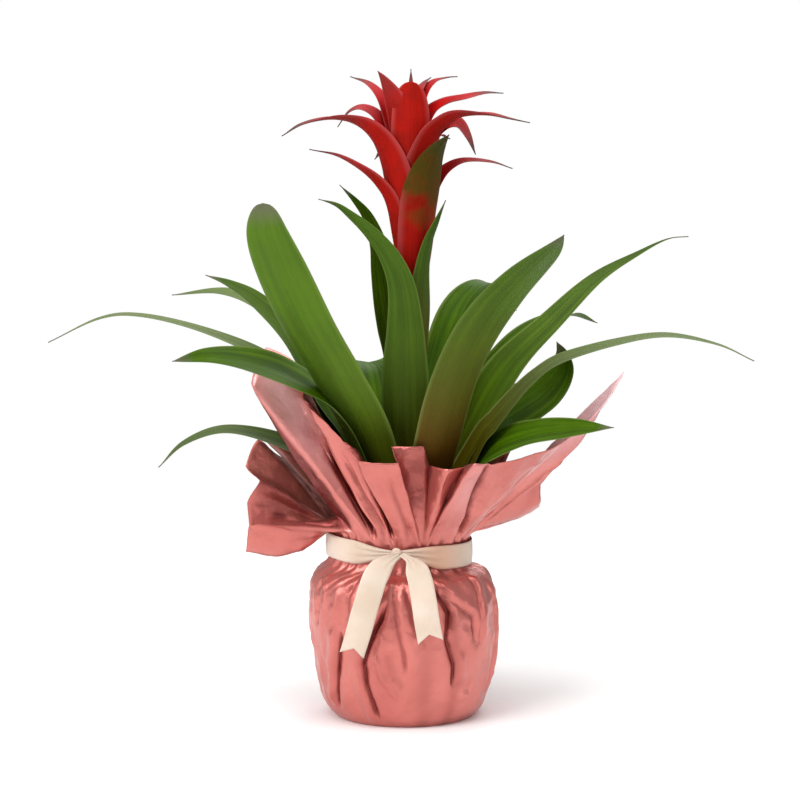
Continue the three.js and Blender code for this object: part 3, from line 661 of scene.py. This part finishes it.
# %% Stem
STEM_OUTLINE = np.array([
    (0.3, 66), (9, 66.5), (13, 80), (15, 99), (23, 111), (27, 130), (26, 150), (21, 175), (14, 205),
    (9, 235), (6, 262), (6, 300), (6, 340), (5.6, 371), (0.3, 372),
])
STEM_SIDES = 64
STEM_X = HEAD["x"] / 2
SHEATH_PITCH, SHEATH_SPIRALS, SHEATH_STEP = 9, 2, 0.07
stem = turned(cubic(STEM_OUTLINE, np.linspace(0, len(STEM_OUTLINE) - 1, 220)), STEM_SIDES, (STEM_X, 0))
height = stem[..., 2]
step = (height / SHEATH_PITCH + SHEATH_SPIRALS * np.arange(STEM_SIDES) / STEM_SIDES) % 1
shrink = SHEATH_STEP * step * smoothstep(height, 76, 90) * smoothstep(-height, -366, -350)
stem = stem - (stem - [STEM_X, 0, 0]) * [1, 1, 0] * shrink[..., None]
mesh = mesh_of("leaf_stem", stem.reshape(-1, 3), closed_loops(stem))
place("leaf_stem", mesh, [stem_material()], "stem_green", "stem")
print("stem faces:", len(mesh.polygons))

# %% [markdown]
# ## Pot and soil
# The film hides the nursery pot, so its solid only gets its plastic. The soil shows from above between
# the leaves: a rough bed of peat with crumbs on it, so it is made again with a lumpy top.


# %% Pot and soil materials
def pot_material():
    made, tree = new_material("pot_plastic")
    cloud = clouds(own_place(tree), 90.0)
    colour = layers(dict(dark=(66, 52, 44), light=(84, 68, 58)), cloud)
    return shade(made, Base_Color=colour, Roughness=times(cloud, 0.15, 0.5), Normal=bump(cloud, 0.0002))


def soil_material():
    made, tree = new_material("peat")
    here = own_place(tree)
    cloud = clouds(here, 240.0)
    damp = times(clouds(here, 40.0), 0.4)
    colour = layers(dict(dark=(34, 22, 14), light=(88, 62, 42), damp=(46, 34, 26)), cloud, damp=damp)
    return shade(made, Base_Color=colour, Roughness=0.95, Normal=bump(cloud, 0.001))


pot_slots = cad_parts["nursery_pot"].data.materials
pot_slots.clear()
pot_slots.append(pot_material())

# %% Soil bed with crumbs
SOIL_LEVEL = 99.0
soil_low, soil_high = (np.array(corner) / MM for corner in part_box("potting_soil"))
SOIL_TOP_R = soil_high[0] - 1
SOIL_OUTLINE = np.array([
    (0.3, soil_low[2]), (44, soil_low[2]), (45, soil_low[2] + 3), (SOIL_TOP_R, SOIL_LEVEL - 4),
    (SOIL_TOP_R - 3, SOIL_LEVEL - 1), (SOIL_TOP_R - 20, SOIL_LEVEL), (20, SOIL_LEVEL + 1),
    (0.3, SOIL_LEVEL + 2),
])
soil = turned(cubic(SOIL_OUTLINE, np.linspace(0, len(SOIL_OUTLINE) - 1, 120)), 110)
soil[..., 2] = np.maximum(soil[..., 2], soil_low[2])
top = smoothstep(soil[..., 2], SOIL_LEVEL - 3, SOIL_LEVEL)
soil[..., 2] += top * (0.9 * ripple(soil, 9, 5) + 0.5 * ripple(soil, 3.5, 6) - 0.8)

CRUMBS = 260
rng = np.random.default_rng(11)
crumb_r = SOIL_TOP_R * np.sqrt(rng.uniform(0.05, 0.86, CRUMBS))
crumb_at = around(rng.uniform(0, 360, CRUMBS)) * crumb_r[:, None] + [0, 0, SOIL_LEVEL + 0.2]
crumb_size = rng.uniform(0.8, 2.1, (CRUMBS, 1, 1, 1)) * rng.uniform(0.6, 1.2, (CRUMBS, 1, 1, 3))
ball = turned([(0.05, -1), (0.8, -0.6), (1, 0.1), (0.7, 0.7), (0.05, 1)], 7)
crumbs = crumb_at[:, None, None] + ball * crumb_size * rng.uniform(0.8, 1.2, (CRUMBS, *ball.shape[:2], 1))


def ring_faces(grid, first):
    """The faces of a surface of revolution whose ends are tiny rings, each closed by one flat face."""
    rows, sides = grid.shape[:2]
    ends = [np.arange(sides)[::-1] + first, np.arange(sides) + first + (rows - 1) * sides]
    return [*quads(rows, sides, wrap=True, first=first), *ends]


points, faces, _ = joined([soil, *crumbs], ring_faces)
mesh = mesh_of("soil_bed", points, faces)
place("soil_bed", mesh, [soil_material()], "soil", "potting_soil")
print("soil faces:", len(mesh.polygons))

# %% [markdown]
# ## The film's finish
# Metallised film is a plastic sheet with a skin of metal: it mirrors softly, and its highlights take its
# own rose colour. The plastic over the metal adds a faint clear gloss. The back of the sheet is paler and
# duller, and the sheet is covered in tiny dents from handling. Two values held along the sheet paint light
# and
# shade into its colour: painted light, paler and less metallic, where it would mirror the open sky, and a
# deep red painted shade where folds face each other, as the light between them would redden.

# %% Film materials
# The first colour is the film's painted light, the second the deep red of its painted shade.
FILM_COLOURS = dict(pale=(220, 182, 187), shut=(104, 16, 12))


def film_material(name, dark, light, metal, rough):
    made, tree = new_material(name)
    here = own_place(tree)
    pale, shut = values_of(tree, "pale", "shut")
    cloud = clouds(here, 14.0)
    dents = clouds(here, 70.0)
    palette = dict(dark=dark, light=light, **FILM_COLOURS)
    # The colour takes painted light, which also lowers the metal, and painted shade in the folds.
    return shade(
        made,
        Base_Color=layers(palette, cloud, pale=times(pale, 0.8), shut=times(shut, 0.88)),
        Metallic=times(pale, -0.8 * metal, metal),
        Roughness=times(dents, 0.08, rough),
        Normal=bump(dents, 0.0012, 0.5),
        Coat_Weight=0.15,
        Coat_Roughness=0.25,
    )


film_face = film_material("rose_film", (192, 104, 96), (208, 121, 112), 0.7, 0.32)
# The back's colours are a little darker and redder than the face's: painted shade on the inside of the folds.
film_back = film_material("rose_film_back", (182, 90, 82), (198, 110, 101), 0.55, 0.38)

# %% [markdown]
# ## The wrapping film
# One square of film lies under the pot, comes up round it, is pulled in at the neck and stands out
# above it in loose folds. A cloth simulation would crumple it in some way, but the photograph shows one
# way, with two wings at the sides and deep tucks in front. So the sheet is a surface of two numbers: the
# fold, counted round the pot, and the way up. Every fold has its own azimuth, reach and height at the free
# edge, as on the solid, and its lower flaps hang a little. Pleats, tucks, rays and dents are added square
# to the surface. Painted shade makes the film darkest where it is closed in between folds, and painted light
# makes it palest on the wings and where a fold would catch the sky. The photograph decides a few such places,
# and they are added as soft spots.

# %% The folds at the free edge
# Fold by fold round the film: [azimuth at the neck, azimuth, radius and height of the free edge].
FOLDS = np.array([
    # In front: the bright panel, the one behind it, a narrow ridge, the light panel and the right wing.
    (267, 252, 81, 205), (286, 266, 76, 205), (287.5, 259, 58, 215), (289.5, 284, 58, 215),
    (290.5, 290, 54, 200), (292, 296, 75, 199), (293, 309, 71, 200), (294.5, 306, 87, 204),
    (322, 312, 95, 203), (330, 334, 124, 214), (336, 350, 148, 236), (341, 363, 169, 265),
    (345, 366, 157, 241), (349, 367, 139, 211),
    # The right wing's lower flap, then round the back.
    (353, 368, 107, 176), (358, 376, 110, 156), (365, 386, 98, 146), (377, 390, 84, 172),
    (388, 398, 114, 212), (400, 408, 86, 190), (412, 420, 116, 218), (424, 432, 88, 196),
    (436, 446, 124, 226), (448, 458, 90, 198), (460, 470, 122, 222), (472, 482, 90, 196),
    (484, 496, 120, 216), (496, 508, 92, 192), (508, 521, 118, 212), (517, 530, 97, 196),
    # The left wing's three lower flaps, and the valley above them.
    (525, 538, 114, 213), (531, 541, 123, 193), (536, 543, 112, 182), (541, 540, 122, 164),
    (550, 541, 119, 132), (558, 547, 123, 129), (574, 549, 121, 149), (592, 570, 60, 158),
    # The left wing.
    (602, 562, 83, 192), (606, 556, 121, 260), (608, 553, 108, 287), (610.5, 558, 88, 276),
    (613.5, 567, 87, 255), (617, 575, 92, 246), (621, 584, 86, 236), (623, 593, 80, 222),
    (625, 602, 78, 207),
], float)
FOLD_COUNT = len(FOLDS)
# How far the film hangs below the straight way from neck to edge, in its lower flaps.
DROOP = np.zeros(FOLD_COUNT)
DROOP[14:17] = 3, 4, 3
DROOP[33:37] = 1, 8, 14, 4
# The film on the pot below the neck: [radius, height, how far its folds have spread evenly].
BODY = np.array([
    (54, 0, 1), (61, 8, 1), (66, 22, 1), (71, 48, 1), (73, 76, 0.8), (71.5, 98, 0.5), (66.5, 111, 0.25),
])
BODY_TURN = 255
NECK_R, NECK_X, NECK_MID, NECK_REACH, NECK_TILT = 55, -4.5, 131, 11, 0.06
# How far the film from neck to edge bellies up.
SAG = 3


def between_folds(k):
    """The fold table at any place k round the film: a cubic from row to row that is flat at each row that
    is higher or lower than both its neighbours, so that it never overshoots, with half of the straight
    line from row to row mixed in, so that the folds keep an edge."""
    turn = np.array([360, 360, 0, 0])
    table = np.concatenate([FOLDS[-2:] - turn, FOLDS, FOLDS[:3] + turn])
    steps = np.diff(table, axis=0)
    before, after = steps[:-1], steps[1:]
    same = before * after > 0
    slope = np.where(same, 2 * before * after / np.where(same, before + after, 1), 0)
    n = np.clip(k.astype(int), 0, FOLD_COUNT - 1)
    f = (k - n)[:, None]
    a, b = table[n + 2], table[n + 3]
    soft = (
        a * (1 + 2 * f) * (1 - f) ** 2 + b * f * f * (3 - 2 * f)
        + slope[n + 1] * f * (1 - f) ** 2 - slope[n + 2] * f * f * (1 - f)
    )
    return mix(soft, mix(a, b, f), 0.5)


# %% From the rim of the underside to the free edge
PLEATS = 33
PLEAT_DEPTH = np.array([0, 0, 0, 0, 0, 0.3, 1.2, 1.8, 1.4, 0.3, 0, 0, 0])


def film_control(k):
    """Thirteen rows of points up the film at the places k: seven on the pot, the neck's lower and upper
    end, and four to the free edge. On the pot, a fold's azimuth turns from its place in an even spacing
    to its place at the neck. Uneven pleats round the neck push the rows near it in by up to their depth,
    as one minus a cosine."""
    neck_at, edge_at, edge_r, edge_z = between_folds(k).T
    spread = BODY[:, 2:]
    azimuth = mix(neck_at, BODY_TURN + 360 * k / FOLD_COUNT, spread)
    body = around(azimuth) * BODY[:, :1, None] + np.stack(
        np.broadcast_arrays(NECK_X * (1 - spread), 0 * spread, BODY[:, 1:2]), -1
    )
    ring = around(neck_at)
    neck = ring * NECK_R + [NECK_X, 0, 0]
    neck[:, 2] = NECK_MID - NECK_TILT * neck[:, 0]
    low, high = neck - [0, 0, NECK_REACH], neck + [0, 0, NECK_REACH]
    edge = around(edge_at) * edge_r[:, None] + edge_z[:, None] * [0, 0, 1]
    share = np.array([0.25, 0.5, 0.75, 1])[:, None, None]
    hang = np.interp(k, np.arange(FOLD_COUNT), DROOP)[None, :, None]
    collar = mix(high, edge, share) + (SAG - hang) * np.sin(np.pi * share) ** 0.7 * [0, 0, 1]
    rows = np.concatenate([body, low[None], high[None], collar])
    turn = np.radians(np.concatenate([azimuth, np.broadcast_to(neck_at, (6, len(k)))]))
    pleat = 0.5 - 0.5 * np.cos(PLEATS * turn + 1.4 * np.sin(5 * turn) + np.sin(11 * turn))
    return rows - ring * (PLEAT_DEPTH[:, None] * pleat)[..., None]


# %% Tucks: where the film is folded over itself
def polyline_offset(x, y, line):
    """Signed distance across and share along for points (x, y) beside a line of points: for each stretch
    of the line the foot of the perpendicular is found, and the nearest foot wins."""
    line = np.asarray(line, float)
    start, step = line[:-1], np.diff(line, axis=0)
    length = np.linalg.norm(step, axis=1)
    dx = x[..., None] - start[:, 0]
    dy = y[..., None] - start[:, 1]
    foot = np.clip((dx * step[:, 0] + dy * step[:, 1]) / length**2, 0, 1)
    off_x, off_y = dx - foot * step[:, 0], dy - foot * step[:, 1]
    distance = np.hypot(off_x, off_y)
    near = distance.argmin(-1)[..., None]
    side = np.sign(step[:, 0] * dy - step[:, 1] * dx)
    along = (foot * length + np.concatenate([[0], np.cumsum(length)[:-1]])) / length.sum()
    return [np.take_along_axis(values, near, -1)[..., 0] for values in (distance * side, along)]


# On the pot: [depth, width, [azimuth, height] from its top to its bottom], in front and then round it.
TUCKS = [
    (6.5, 2.8, [(216, 9), (220, 24), (224, 42), (228, 62), (230, 78)]),
    (6.0, 2.4, [(254, 2), (250.5, 16), (246, 34), (245, 50), (250, 68), (257, 86), (262, 104)]),
    (-3.5, 3.5, [(253, 60), (257, 42), (265, 27), (270, 22)]),
    (-3.0, 3.0, [(307, 22), (313, 24), (318, 22)]),
    (-1.6, 4.0, [(228, 112), (226, 96), (224, 84)]),
    (3.5, 2.8, [(264, 112), (266, 88), (271, 56), (272, 38)]),
    (3.0, 2.2, [(271, 114), (274, 100), (281, 76), (284, 62)]),
    (5.5, 2.6, [(286, 114), (293, 103), (299, 90), (297, 70), (303, 50), (303, 34), (307, 24)]),
    (4.0, 2.4, [(292, 108), (303, 97), (317, 84), (319, 62)]),
    (3.0, 2.4, [(323, 116), (325, 92), (322, 60)]),
    (3.0, 2.4, [(343, 114), (347, 80), (343, 40), (340, 12)]),
    (3.5, 2.2, [(8, 116), (12, 84), (8, 50)]),
    (3.0, 2.4, [(33, 114), (30, 76), (36, 30), (38, 8)]),
    (3.5, 2.0, [(58, 116), (64, 90), (60, 52)]),
    (3.0, 2.4, [(86, 114), (82, 70), (88, 24), (90, 4)]),
    (3.5, 2.2, [(110, 116), (116, 84), (110, 46)]),
    (3.0, 2.4, [(136, 114), (132, 72), (138, 20)]),
    (3.5, 2.0, [(160, 116), (166, 88), (161, 54), (164, 30)]),
    (3.0, 2.2, [(186, 114), (190, 84), (187, 50)]),
    (2.4, 2.2, [(206, 116), (209, 96), (206, 70)]),
    (2.4, 2.0, [(238, 114), (235, 100), (236, 86)]),
]


def tuck_relief(points):
    """How far each point moves square to the film on the pot. Beside each tuck, at a distance d, the film
    bulges on one side and dips sharply on the other, as depth times 0.45 exp(-(d - 2.2w)^2 / 4w^2) less
    exp(-|d| / 0.75w), with |d| rounded off within half a millimetre. Tucks fade in and out at their ends."""
    azimuth = np.degrees(np.arctan2(points[..., 1], points[..., 0] - NECK_X / 2)) % 360
    height = points[..., 2]
    moved = np.zeros(points.shape[:-1])
    for depth, width, line in TUCKS:
        line = np.array(line, float)
        middle = line[:, 0].mean()
        x = ((azimuth - middle + 180) % 360 - 180) * np.pi / 180 * BODY[4, 0]
        line[:, 0] = (line[:, 0] - middle) * np.pi / 180 * BODY[4, 0]
        off, along = polyline_offset(x, height, line)
        bulge = 0.45 * np.exp(-(((off - 2.2 * width) / (2 * width)) ** 2))
        dip = np.exp(-np.hypot(off, 0.5) / (0.75 * width))
        fade = smoothstep(along, 0, 0.12) * smoothstep(1 - along, 0, 0.2)
        moved += depth * (bulge - dip) * fade
    return moved * smoothstep(height, 1, 9) * smoothstep(-height, -124, -112)


# Above the neck: [depth, width, [fold, share of the way to the edge] from the neck outwards].
RAYS = [
    (6.0, 3.4, [(41.8, 0), (40.7, 0.15), (40.3, 0.35), (41.1, 0.55), (42.4, 0.75), (43.0, 1)]),
    (2.0, 3.0, [(44.2, 0), (43.9, 0.3), (43.8, 0.6)]),
    (5.0, 2.2, [(46.2, 0), (45.6, 0.5), (45.3, 1)]),
    (-2.0, 4.0, [(42.9, 0), (42.5, 0.4), (42.2, 0.9)]),
    (2.5, 2.0, [(40.9, 0), (40.9, 0.5), (40.7, 0.8)]),
    (2.0, 2.5, [(0.6, 0), (0.4, 0.7)]),
    (3.0, 2.0, [(8.2, 0), (8.0, 0.5), (7.9, 1)]),
    (1.5, 2.0, [(9.4, 0), (9.3, 0.7)]),
    (3.5, 2.2, [(14.4, 0), (15.0, 0.4), (15.2, 0.65)]),
    (-2.0, 2.0, [(13.2, 0), (13.4, 0.5), (13.5, 1)]),
    (3.0, 2.0, [(33.4, 0), (33.2, 0.5), (33.0, 0.9)]),
    (-2.0, 2.0, [(32.9, 0), (32.5, 0.9)]),
    (2.0, 2.0, [(35.5, 0), (35.5, 0.6)]),
]


def ray_relief(k, share, spacing):
    """How far each point of the collar moves in at the folds that run out from the neck: each is a
    valley depth * exp(-d^2 / width^2), d being measured round the film in millimetres."""
    moved = np.zeros(spacing.shape)
    for depth, width, line in RAYS:
        place_on, reach = np.array(line, float).T
        off = (k - np.interp(share, reach, place_on)) * spacing
        fade = smoothstep(share, 0.0, 0.1) * smoothstep(reach[-1] + 0.15 - share, 0, 0.3)
        moved -= depth * np.exp(-((off / width) ** 2)) * fade
    return moved


# %% Painted light where the sky would show in the film, and painted shade where the other folds would
# Soft spots on the collar, of painted light, of painted shade, and where painted shade is lifted: [strength,
# fold, share of the way to the edge, reach in folds, reach in shares].
PAINTED_LIGHT_SPOTS = [(0.65, 39.6, 0.8, 0.7, 0.4), (0.35, 7.5, 0.7, 0.5, 0.4), (0.3, 34.6, 0.8, 0.5, 0.25)]
SHADE_LIFT_SPOTS = [(0.65, 2.6, 1.0, 1.0, 0.5)]
PAINTED_SHADE_SPOTS = [(0.75, 6.2, 0.45, 0.55, 0.5), (0.5, 3.6, 0.2, 0.8, 0.25), (0.45, 10.6, 0.3, 0.8, 0.3),
              (0.5, 41.4, 0.45, 0.7, 0.25), (0.5, 32.4, 0.55, 0.5, 0.4)]


def soft_spots(spots, k, share):
    """The sum of strength * exp(-(fold off / its reach)^2 - (share off / its reach)^2) over the spots."""
    total = 0
    for strength, fold, at, wide, high in spots:
        total = total + strength * np.exp(-(((k - fold) / wide) ** 2) - ((share - at) / high) ** 2)
    return total


# %% The whole sheet
FRONT_COLUMNS, BACK_COLUMNS = 14, 7
BACK_FOLDS = range(14, 36)
ROWS_A_SPAN = [5, 8, 12, 12, 12, 8, 5, 5, 6, 6, 6, 6]
NECK_ROW, EDGE_ROW = 8, 12
TIGHT_ROW, TIGHT_REACH = 7.5, 1.2
UNDERSIDE_RINGS = np.array([0.25, 0.5, 0.75])
# Dents from handling: [wavelength, height, seed], soft ones and ones with a crest.
SOFT_DENTS = [(38, 0.4, 21), (7, 0.12, 23)]
CRESTED_DENTS = [(34, 0.7, 24), (17, 0.15, 22)]


def square_to(grid):
    """The direction square to a surface at each point of a grid that closes on itself sideways."""
    east = np.roll(grid, -1, 1) - np.roll(grid, 1, 1)
    up = np.gradient(grid, axis=0)
    return unit(np.cross(east, up))


def valley(grid, reach=40):
    """How deep in a valley each point of the collar lies: the lower of the two highest radii on its left
    and on its right, less its own, as a soft step from 3 to 14 mm. It sets how much painted shade the
    film gets there."""
    radius = np.hypot(grid[..., 0] - NECK_X, grid[..., 1])
    walls = [np.max([np.roll(radius, side * n, 1) for n in range(1, reach)], axis=0) for side in (-1, 1)]
    return smoothstep(np.minimum(*walls) - radius, 3, 14)


counts = [BACK_COLUMNS if fold in BACK_FOLDS else FRONT_COLUMNS for fold in range(FOLD_COUNT)]
k = np.concatenate([fold + np.arange(n) / n for fold, n in enumerate(counts)])
rows = np.concatenate([[span + i / n for i in range(n)] for span, n in enumerate(ROWS_A_SPAN)] + [[EDGE_ROW]])
film = cubic(film_control(k), rows)
share = np.clip((rows - NECK_ROW) / (EDGE_ROW - NECK_ROW), 0, 1)[:, None]
spacing = np.linalg.norm(np.roll(film, -1, 1) - np.roll(film, 1, 1), axis=-1)
spacing /= (np.roll(k, -1) - np.roll(k, 1)) % FOLD_COUNT
# The film is pressed flat under the pot and pulled tight at the neck, so there are few dents there.
tight = 0.8 * np.exp(-(((rows[:, None] - TIGHT_ROW) / TIGHT_REACH) ** 2))
loose = smoothstep(film[..., 2], 3, 16) * (1 - tight)
dents = sum(height * ripple(film, size, seed) for size, height, seed in SOFT_DENTS)
dents += sum(height * (1 - 2 * np.abs(ripple(film, size, seed))) for size, height, seed in CRESTED_DENTS)
folded = tuck_relief(film) + ray_relief(k, share, spacing)
film = film + square_to(film) * (folded + dents * loose)[..., None]

# Painted light, paler and less metallic, on the far part of the wings, whose edge is 125 to 165 mm out, and
# painted shade in valleys and tucks.
edge_reach = np.linalg.norm(film[-1, :, :2], axis=1)
pale = smoothstep(share, 0.35, 1.0) * smoothstep(edge_reach, 125, 165) + soft_spots(PAINTED_LIGHT_SPOTS, k, share)
# Painted shade: the film's deep red in valleys and tucks, with a few spots added and a few lifted.
shut = valley(film) * smoothstep(share, 0.02, 0.2) + smoothstep(-folded, 0.7, 3.2)
shut = shut * (1 - soft_spots(SHADE_LIFT_SPOTS, k, share)) + soft_spots(PAINTED_SHADE_SPOTS, k, share)

# %% The sheet's mesh, closed under the pot by rings and a fan of triangles
sheet_grid = np.concatenate([UNDERSIDE_RINGS[:, None, None] * film[:1] * [1, 1, 0], film])
points = np.concatenate([sheet_grid.reshape(-1, 3), [[0, 0, 0]]])
ring = np.arange(len(k))
fan = np.stack([np.full_like(ring, len(points) - 1), np.roll(ring, -1), ring], -1)
held = {}
for key, value in dict(pale=pale, shut=shut).items():
    held[key] = np.zeros(len(points))
    above = np.broadcast_to(np.clip(value, 0, 1), film.shape[:2])
    held[key][-1 - above.size:-1] = above.ravel()
faces = [*quads(*sheet_grid.shape[:2], wrap=True), *fan]
mesh = mesh_of("gift_film", points, faces, **held)
gift_film = place("gift_film", mesh, [film_face, film_back], "film", "film_wrap")
thicken(gift_film, 0.35, offset=-1, back=1)

# %% [markdown]
# ## The ribbon
# The ribbon is a 19 mm strip of satin: once round the neck, tied, its two ends cut to swallow tails. Satin
# is smooth because its threads float along the ribbon, so it shines in soft bands and shows a fine line
# along its length. A strip is its middle line and a direction across it. The width folds down into the
# knot in pleats, and a held value paints a reflection of the rose film into the satin's colour.


# %% Ribbon material
# The last colour is the painted reflection of the rose film.
RIBBON_COLOURS = dict(
    dark=(208, 190, 170), light=(222, 206, 190), thread=(190, 164, 138), margin=(232, 218, 204),
    warm=(198, 140, 106),
)


def ribbon_material():
    made, tree = new_material("cream_satin")
    here, across, along, edge = strap_places(tree)
    (warm,) = values_of(tree, "warm")
    cloud = clouds(here, 30.0)
    threads = fine_lines(across, along, 70.0, 6.0)
    colour = layers(
        RIBBON_COLOURS, cloud,
        thread=times(threads, 0.12),
        margin=rise(edge, 0.88, 0.97, 0.3),
        warm=times(warm, 0.7),
    )
    return shade(
        made, Base_Color=colour, Roughness=0.42, Normal=bump(threads, 0.0002, 0.4), Sheen_Weight=0.25,
        Sheen_Roughness=0.3,
    )


cream_satin = ribbon_material()

# %% Band, tails and knot
RIBBON_WIDTH, RIBBON_LENGTH = 19, 600
KNOT_AT = 268
BAND_R = NECK_R + 0.8
KNOT_OUT, KNOT_UP = BAND_R + 3.5, NECK_MID + 3
NOTCH = 6
TAILS = [
    [(-5, -62, 134), (-14, -70, 129), (-22, -76, 120), (-26.5, -78.5, 107), (-31, -79, 92), (-35, -78, 77),
     (-40, -75, 60)],
    [(-3, -62, 134), (6, -70, 129), (11, -76, 117), (14, -79.5, 102), (16, -80, 88), (19, -79.5, 71)],
]


def band_strip(rows=180, columns=12):
    """The band: a strip round the neck whose half height shrinks to the knot as a soft step, while three
    pleats rise across it."""
    azimuth = KNOT_AT + 2 + np.linspace(0, 356, rows)[:, None]
    away = np.minimum(azimuth - KNOT_AT, 360 - (azimuth - KNOT_AT))
    spread = smoothstep(away, 0, 38)
    u = np.linspace(-1, 1, columns + 1)[None, :]
    ring = around(azimuth)
    centre = ring * mix(KNOT_OUT, BAND_R + 0.5, spread)[..., None]
    centre[..., 2] = mix(KNOT_UP, NECK_MID - NECK_TILT * centre[..., 0], spread)
    centre += [NECK_X, 0, 0]
    half = mix(2.5, RIBBON_WIDTH / 2 - 0.5, spread)
    pleat = 0.9 * smoothstep(away, 2, 12) * smoothstep(-away, -46, -16) * np.cos(3 * np.pi * u)
    belly = 0.5 * (1 - u**2) * spread
    from_knot = azimuth - KNOT_AT
    # Painted reflection of the rose film, strongest just right of the knot and faint just left of it.
    warm = np.exp(-(((from_knot - 34) / 22) ** 2)) + 0.25 * np.exp(-(((from_knot - 330) / 20) ** 2))
    return centre + ring * (pleat + belly)[..., None] + (half * u)[..., None] * [0, 0, 1], u, warm


def tail_strip(points, seed, rows=70, columns=12):
    """A tail: a strip along its middle line. Its last stretch runs further at the edges than in the
    middle, which is the V cut into its end."""
    t, u = np.meshgrid(np.linspace(0, 1, rows), np.linspace(-1, 1, columns + 1), indexing="ij")
    length = np.linalg.norm(np.diff(points, axis=0), axis=1).sum()
    reach = t * (1 - NOTCH / length * (1 - np.abs(u)) * smoothstep(t, 0.4, 1))
    centre, along = (a.reshape(rows, columns + 1, 3) for a in smooth_path(points, reach.ravel()))
    out = unit(np.array([0, -1, 0]) - along * along @ np.array([0, -1, 0])[:, None])
    across = np.cross(along, out)
    half = mix(3.0, RIBBON_WIDTH / 2, smoothstep(t, 0, 0.28))
    rng = np.random.default_rng(seed)
    curl = 0.8 * np.sin(2 * np.pi * (1.3 * t + rng.uniform())) * u + 0.7 * (1 - u**2)
    pleat = 0.7 * smoothstep(-t, -0.3, 0) * np.cos(3 * np.pi * u)
    return centre + across * (half * u)[..., None] + out * (0.5 + curl + pleat)[..., None], t, u


def open_faces(grid, first):
    """The faces of a strip."""
    return quads(*grid.shape[:2], first=first)


# How many widths long the ribbon's map makes the band and a tail.
BAND_LONG, TAIL_LONG = 18, 4
band, u, warm = band_strip()
u, warm, along = np.broadcast_arrays(u, warm, np.linspace(0, BAND_LONG, len(band))[:, None])
strips = [(band, np.stack([0.5 + 0.5 * u, along], -1), warm)]
for seed, points in enumerate(TAILS):
    tail, t, u = tail_strip(points, 40 + seed)
    # The tails carry a faint painted reflection of the film, in bands along them.
    strips.append((tail, np.stack([0.5 + 0.5 * u, TAIL_LONG * t], -1), 0.15 * np.sin(9 * t) ** 2))
grids, maps, warm = zip(*strips)
points, faces, _ = joined(grids, open_faces)
mesh = mesh_of("satin_ribbon", points, faces, stacked(maps, 2), warm=stacked(warm))
satin_ribbon = place("satin_ribbon", mesh, [cream_satin], "satin", "ribbon")
thicken(satin_ribbon, 0.4, offset=0)
ribbon_area = sum(polygon.area for polygon in mesh.polygons)
print("ribbon faces:", len(mesh.polygons), "area:", round(ribbon_area, 5))

# %% The knot
KNOT_HALF = np.array([4.2, 3.0, 4.6])
turns = np.linspace(0.02, np.pi - 0.02, 40)[:, None]
angle = np.linspace(0, 2 * np.pi, 48, endpoint=False)[None, :]
bulk = 1 + 0.1 * np.cos(7 * angle + 1.5 * np.cos(turns)) * np.sin(turns)
knot = np.stack(np.broadcast_arrays(
    -np.cos(turns), np.sin(turns) * np.cos(angle) * bulk, np.sin(turns) * np.sin(angle) * bulk
), -1)
knot = knot * KNOT_HALF + around(float(KNOT_AT)) * KNOT_OUT + [NECK_X, -1, KNOT_UP]
knot_uv = np.stack(np.broadcast_arrays(angle / np.pi, turns / np.pi), -1)
# The knot carries an even painted reflection of the film.
mesh = mesh_of("ribbon_knot", knot.reshape(-1, 3), ring_faces(knot, 0), knot_uv.reshape(-1, 2), warm=0.3)
ribbon_knot = place("ribbon_knot", mesh, [cream_satin], "satin")

# %% [markdown]
# ## Floor and light
# The photograph is a cut-out on white, lit softly, with colours as a display shows them. So the view
# keeps colours as they are, the floor is near white, and the sky is white where the camera sees it but
# dim as a light. Large soft lamps do the lighting, so the film has bright and dim sides to mirror.


# %% Floor
FLOOR_R = 900
FLOOR_SIDES = 96
floor_skin, _ = new_material("pale_floor")
shade(floor_skin, Base_Color=(0.9, 0.9, 0.9, 1), Roughness=0.9, Specular_IOR_Level=0.1)
floor_points = FLOOR_R * around(np.arange(FLOOR_SIDES) * 360 / FLOOR_SIDES) - [0, 0, 0.2]
floor = new_object("floor", mesh_of("floor", floor_points, [np.arange(FLOOR_SIDES)]))
floor.data.materials.append(floor_skin)

# %% Lamps: [name, azimuth, elevation, distance, size, power], square and soft, each facing the plant
LAMPS = [
    ("top", 270, 80, 2.2, 2.2, 55),
    ("key", 228, 30, 2.4, 1.2, 30),
    ("fill", 322, 18, 2.6, 1.6, 13),
    ("left", 196, 12, 2.4, 1.6, 9),
    ("back", 70, 35, 2.4, 1.4, 14),
]
for name, azimuth, elevation, away, size, power in LAMPS:
    lamp = new_object(name, bpy.data.lights.new(name, "AREA"))
    lamp.data.size, lamp.data.energy = size, power
    look_at(lamp, Vector((0, 0, 0.25)), azimuth, elevation, away)

# %% Sky
SKY_LIGHT = 0.45
world = bpy.data.worlds.new("pale_sky")
bpy.context.scene.world = world
world.use_nodes = True
sky = world.node_tree
seen = add(sky, "LightPath").outputs["Is Camera Ray"]
strength = times(seen, 1 - SKY_LIGHT, SKY_LIGHT)
background = sky.nodes["Background"]
background.inputs[0].default_value = (1, 1, 1, 1)
sky.links.new(strength, background.inputs[1])
bpy.context.scene.view_settings.view_transform = "Standard"
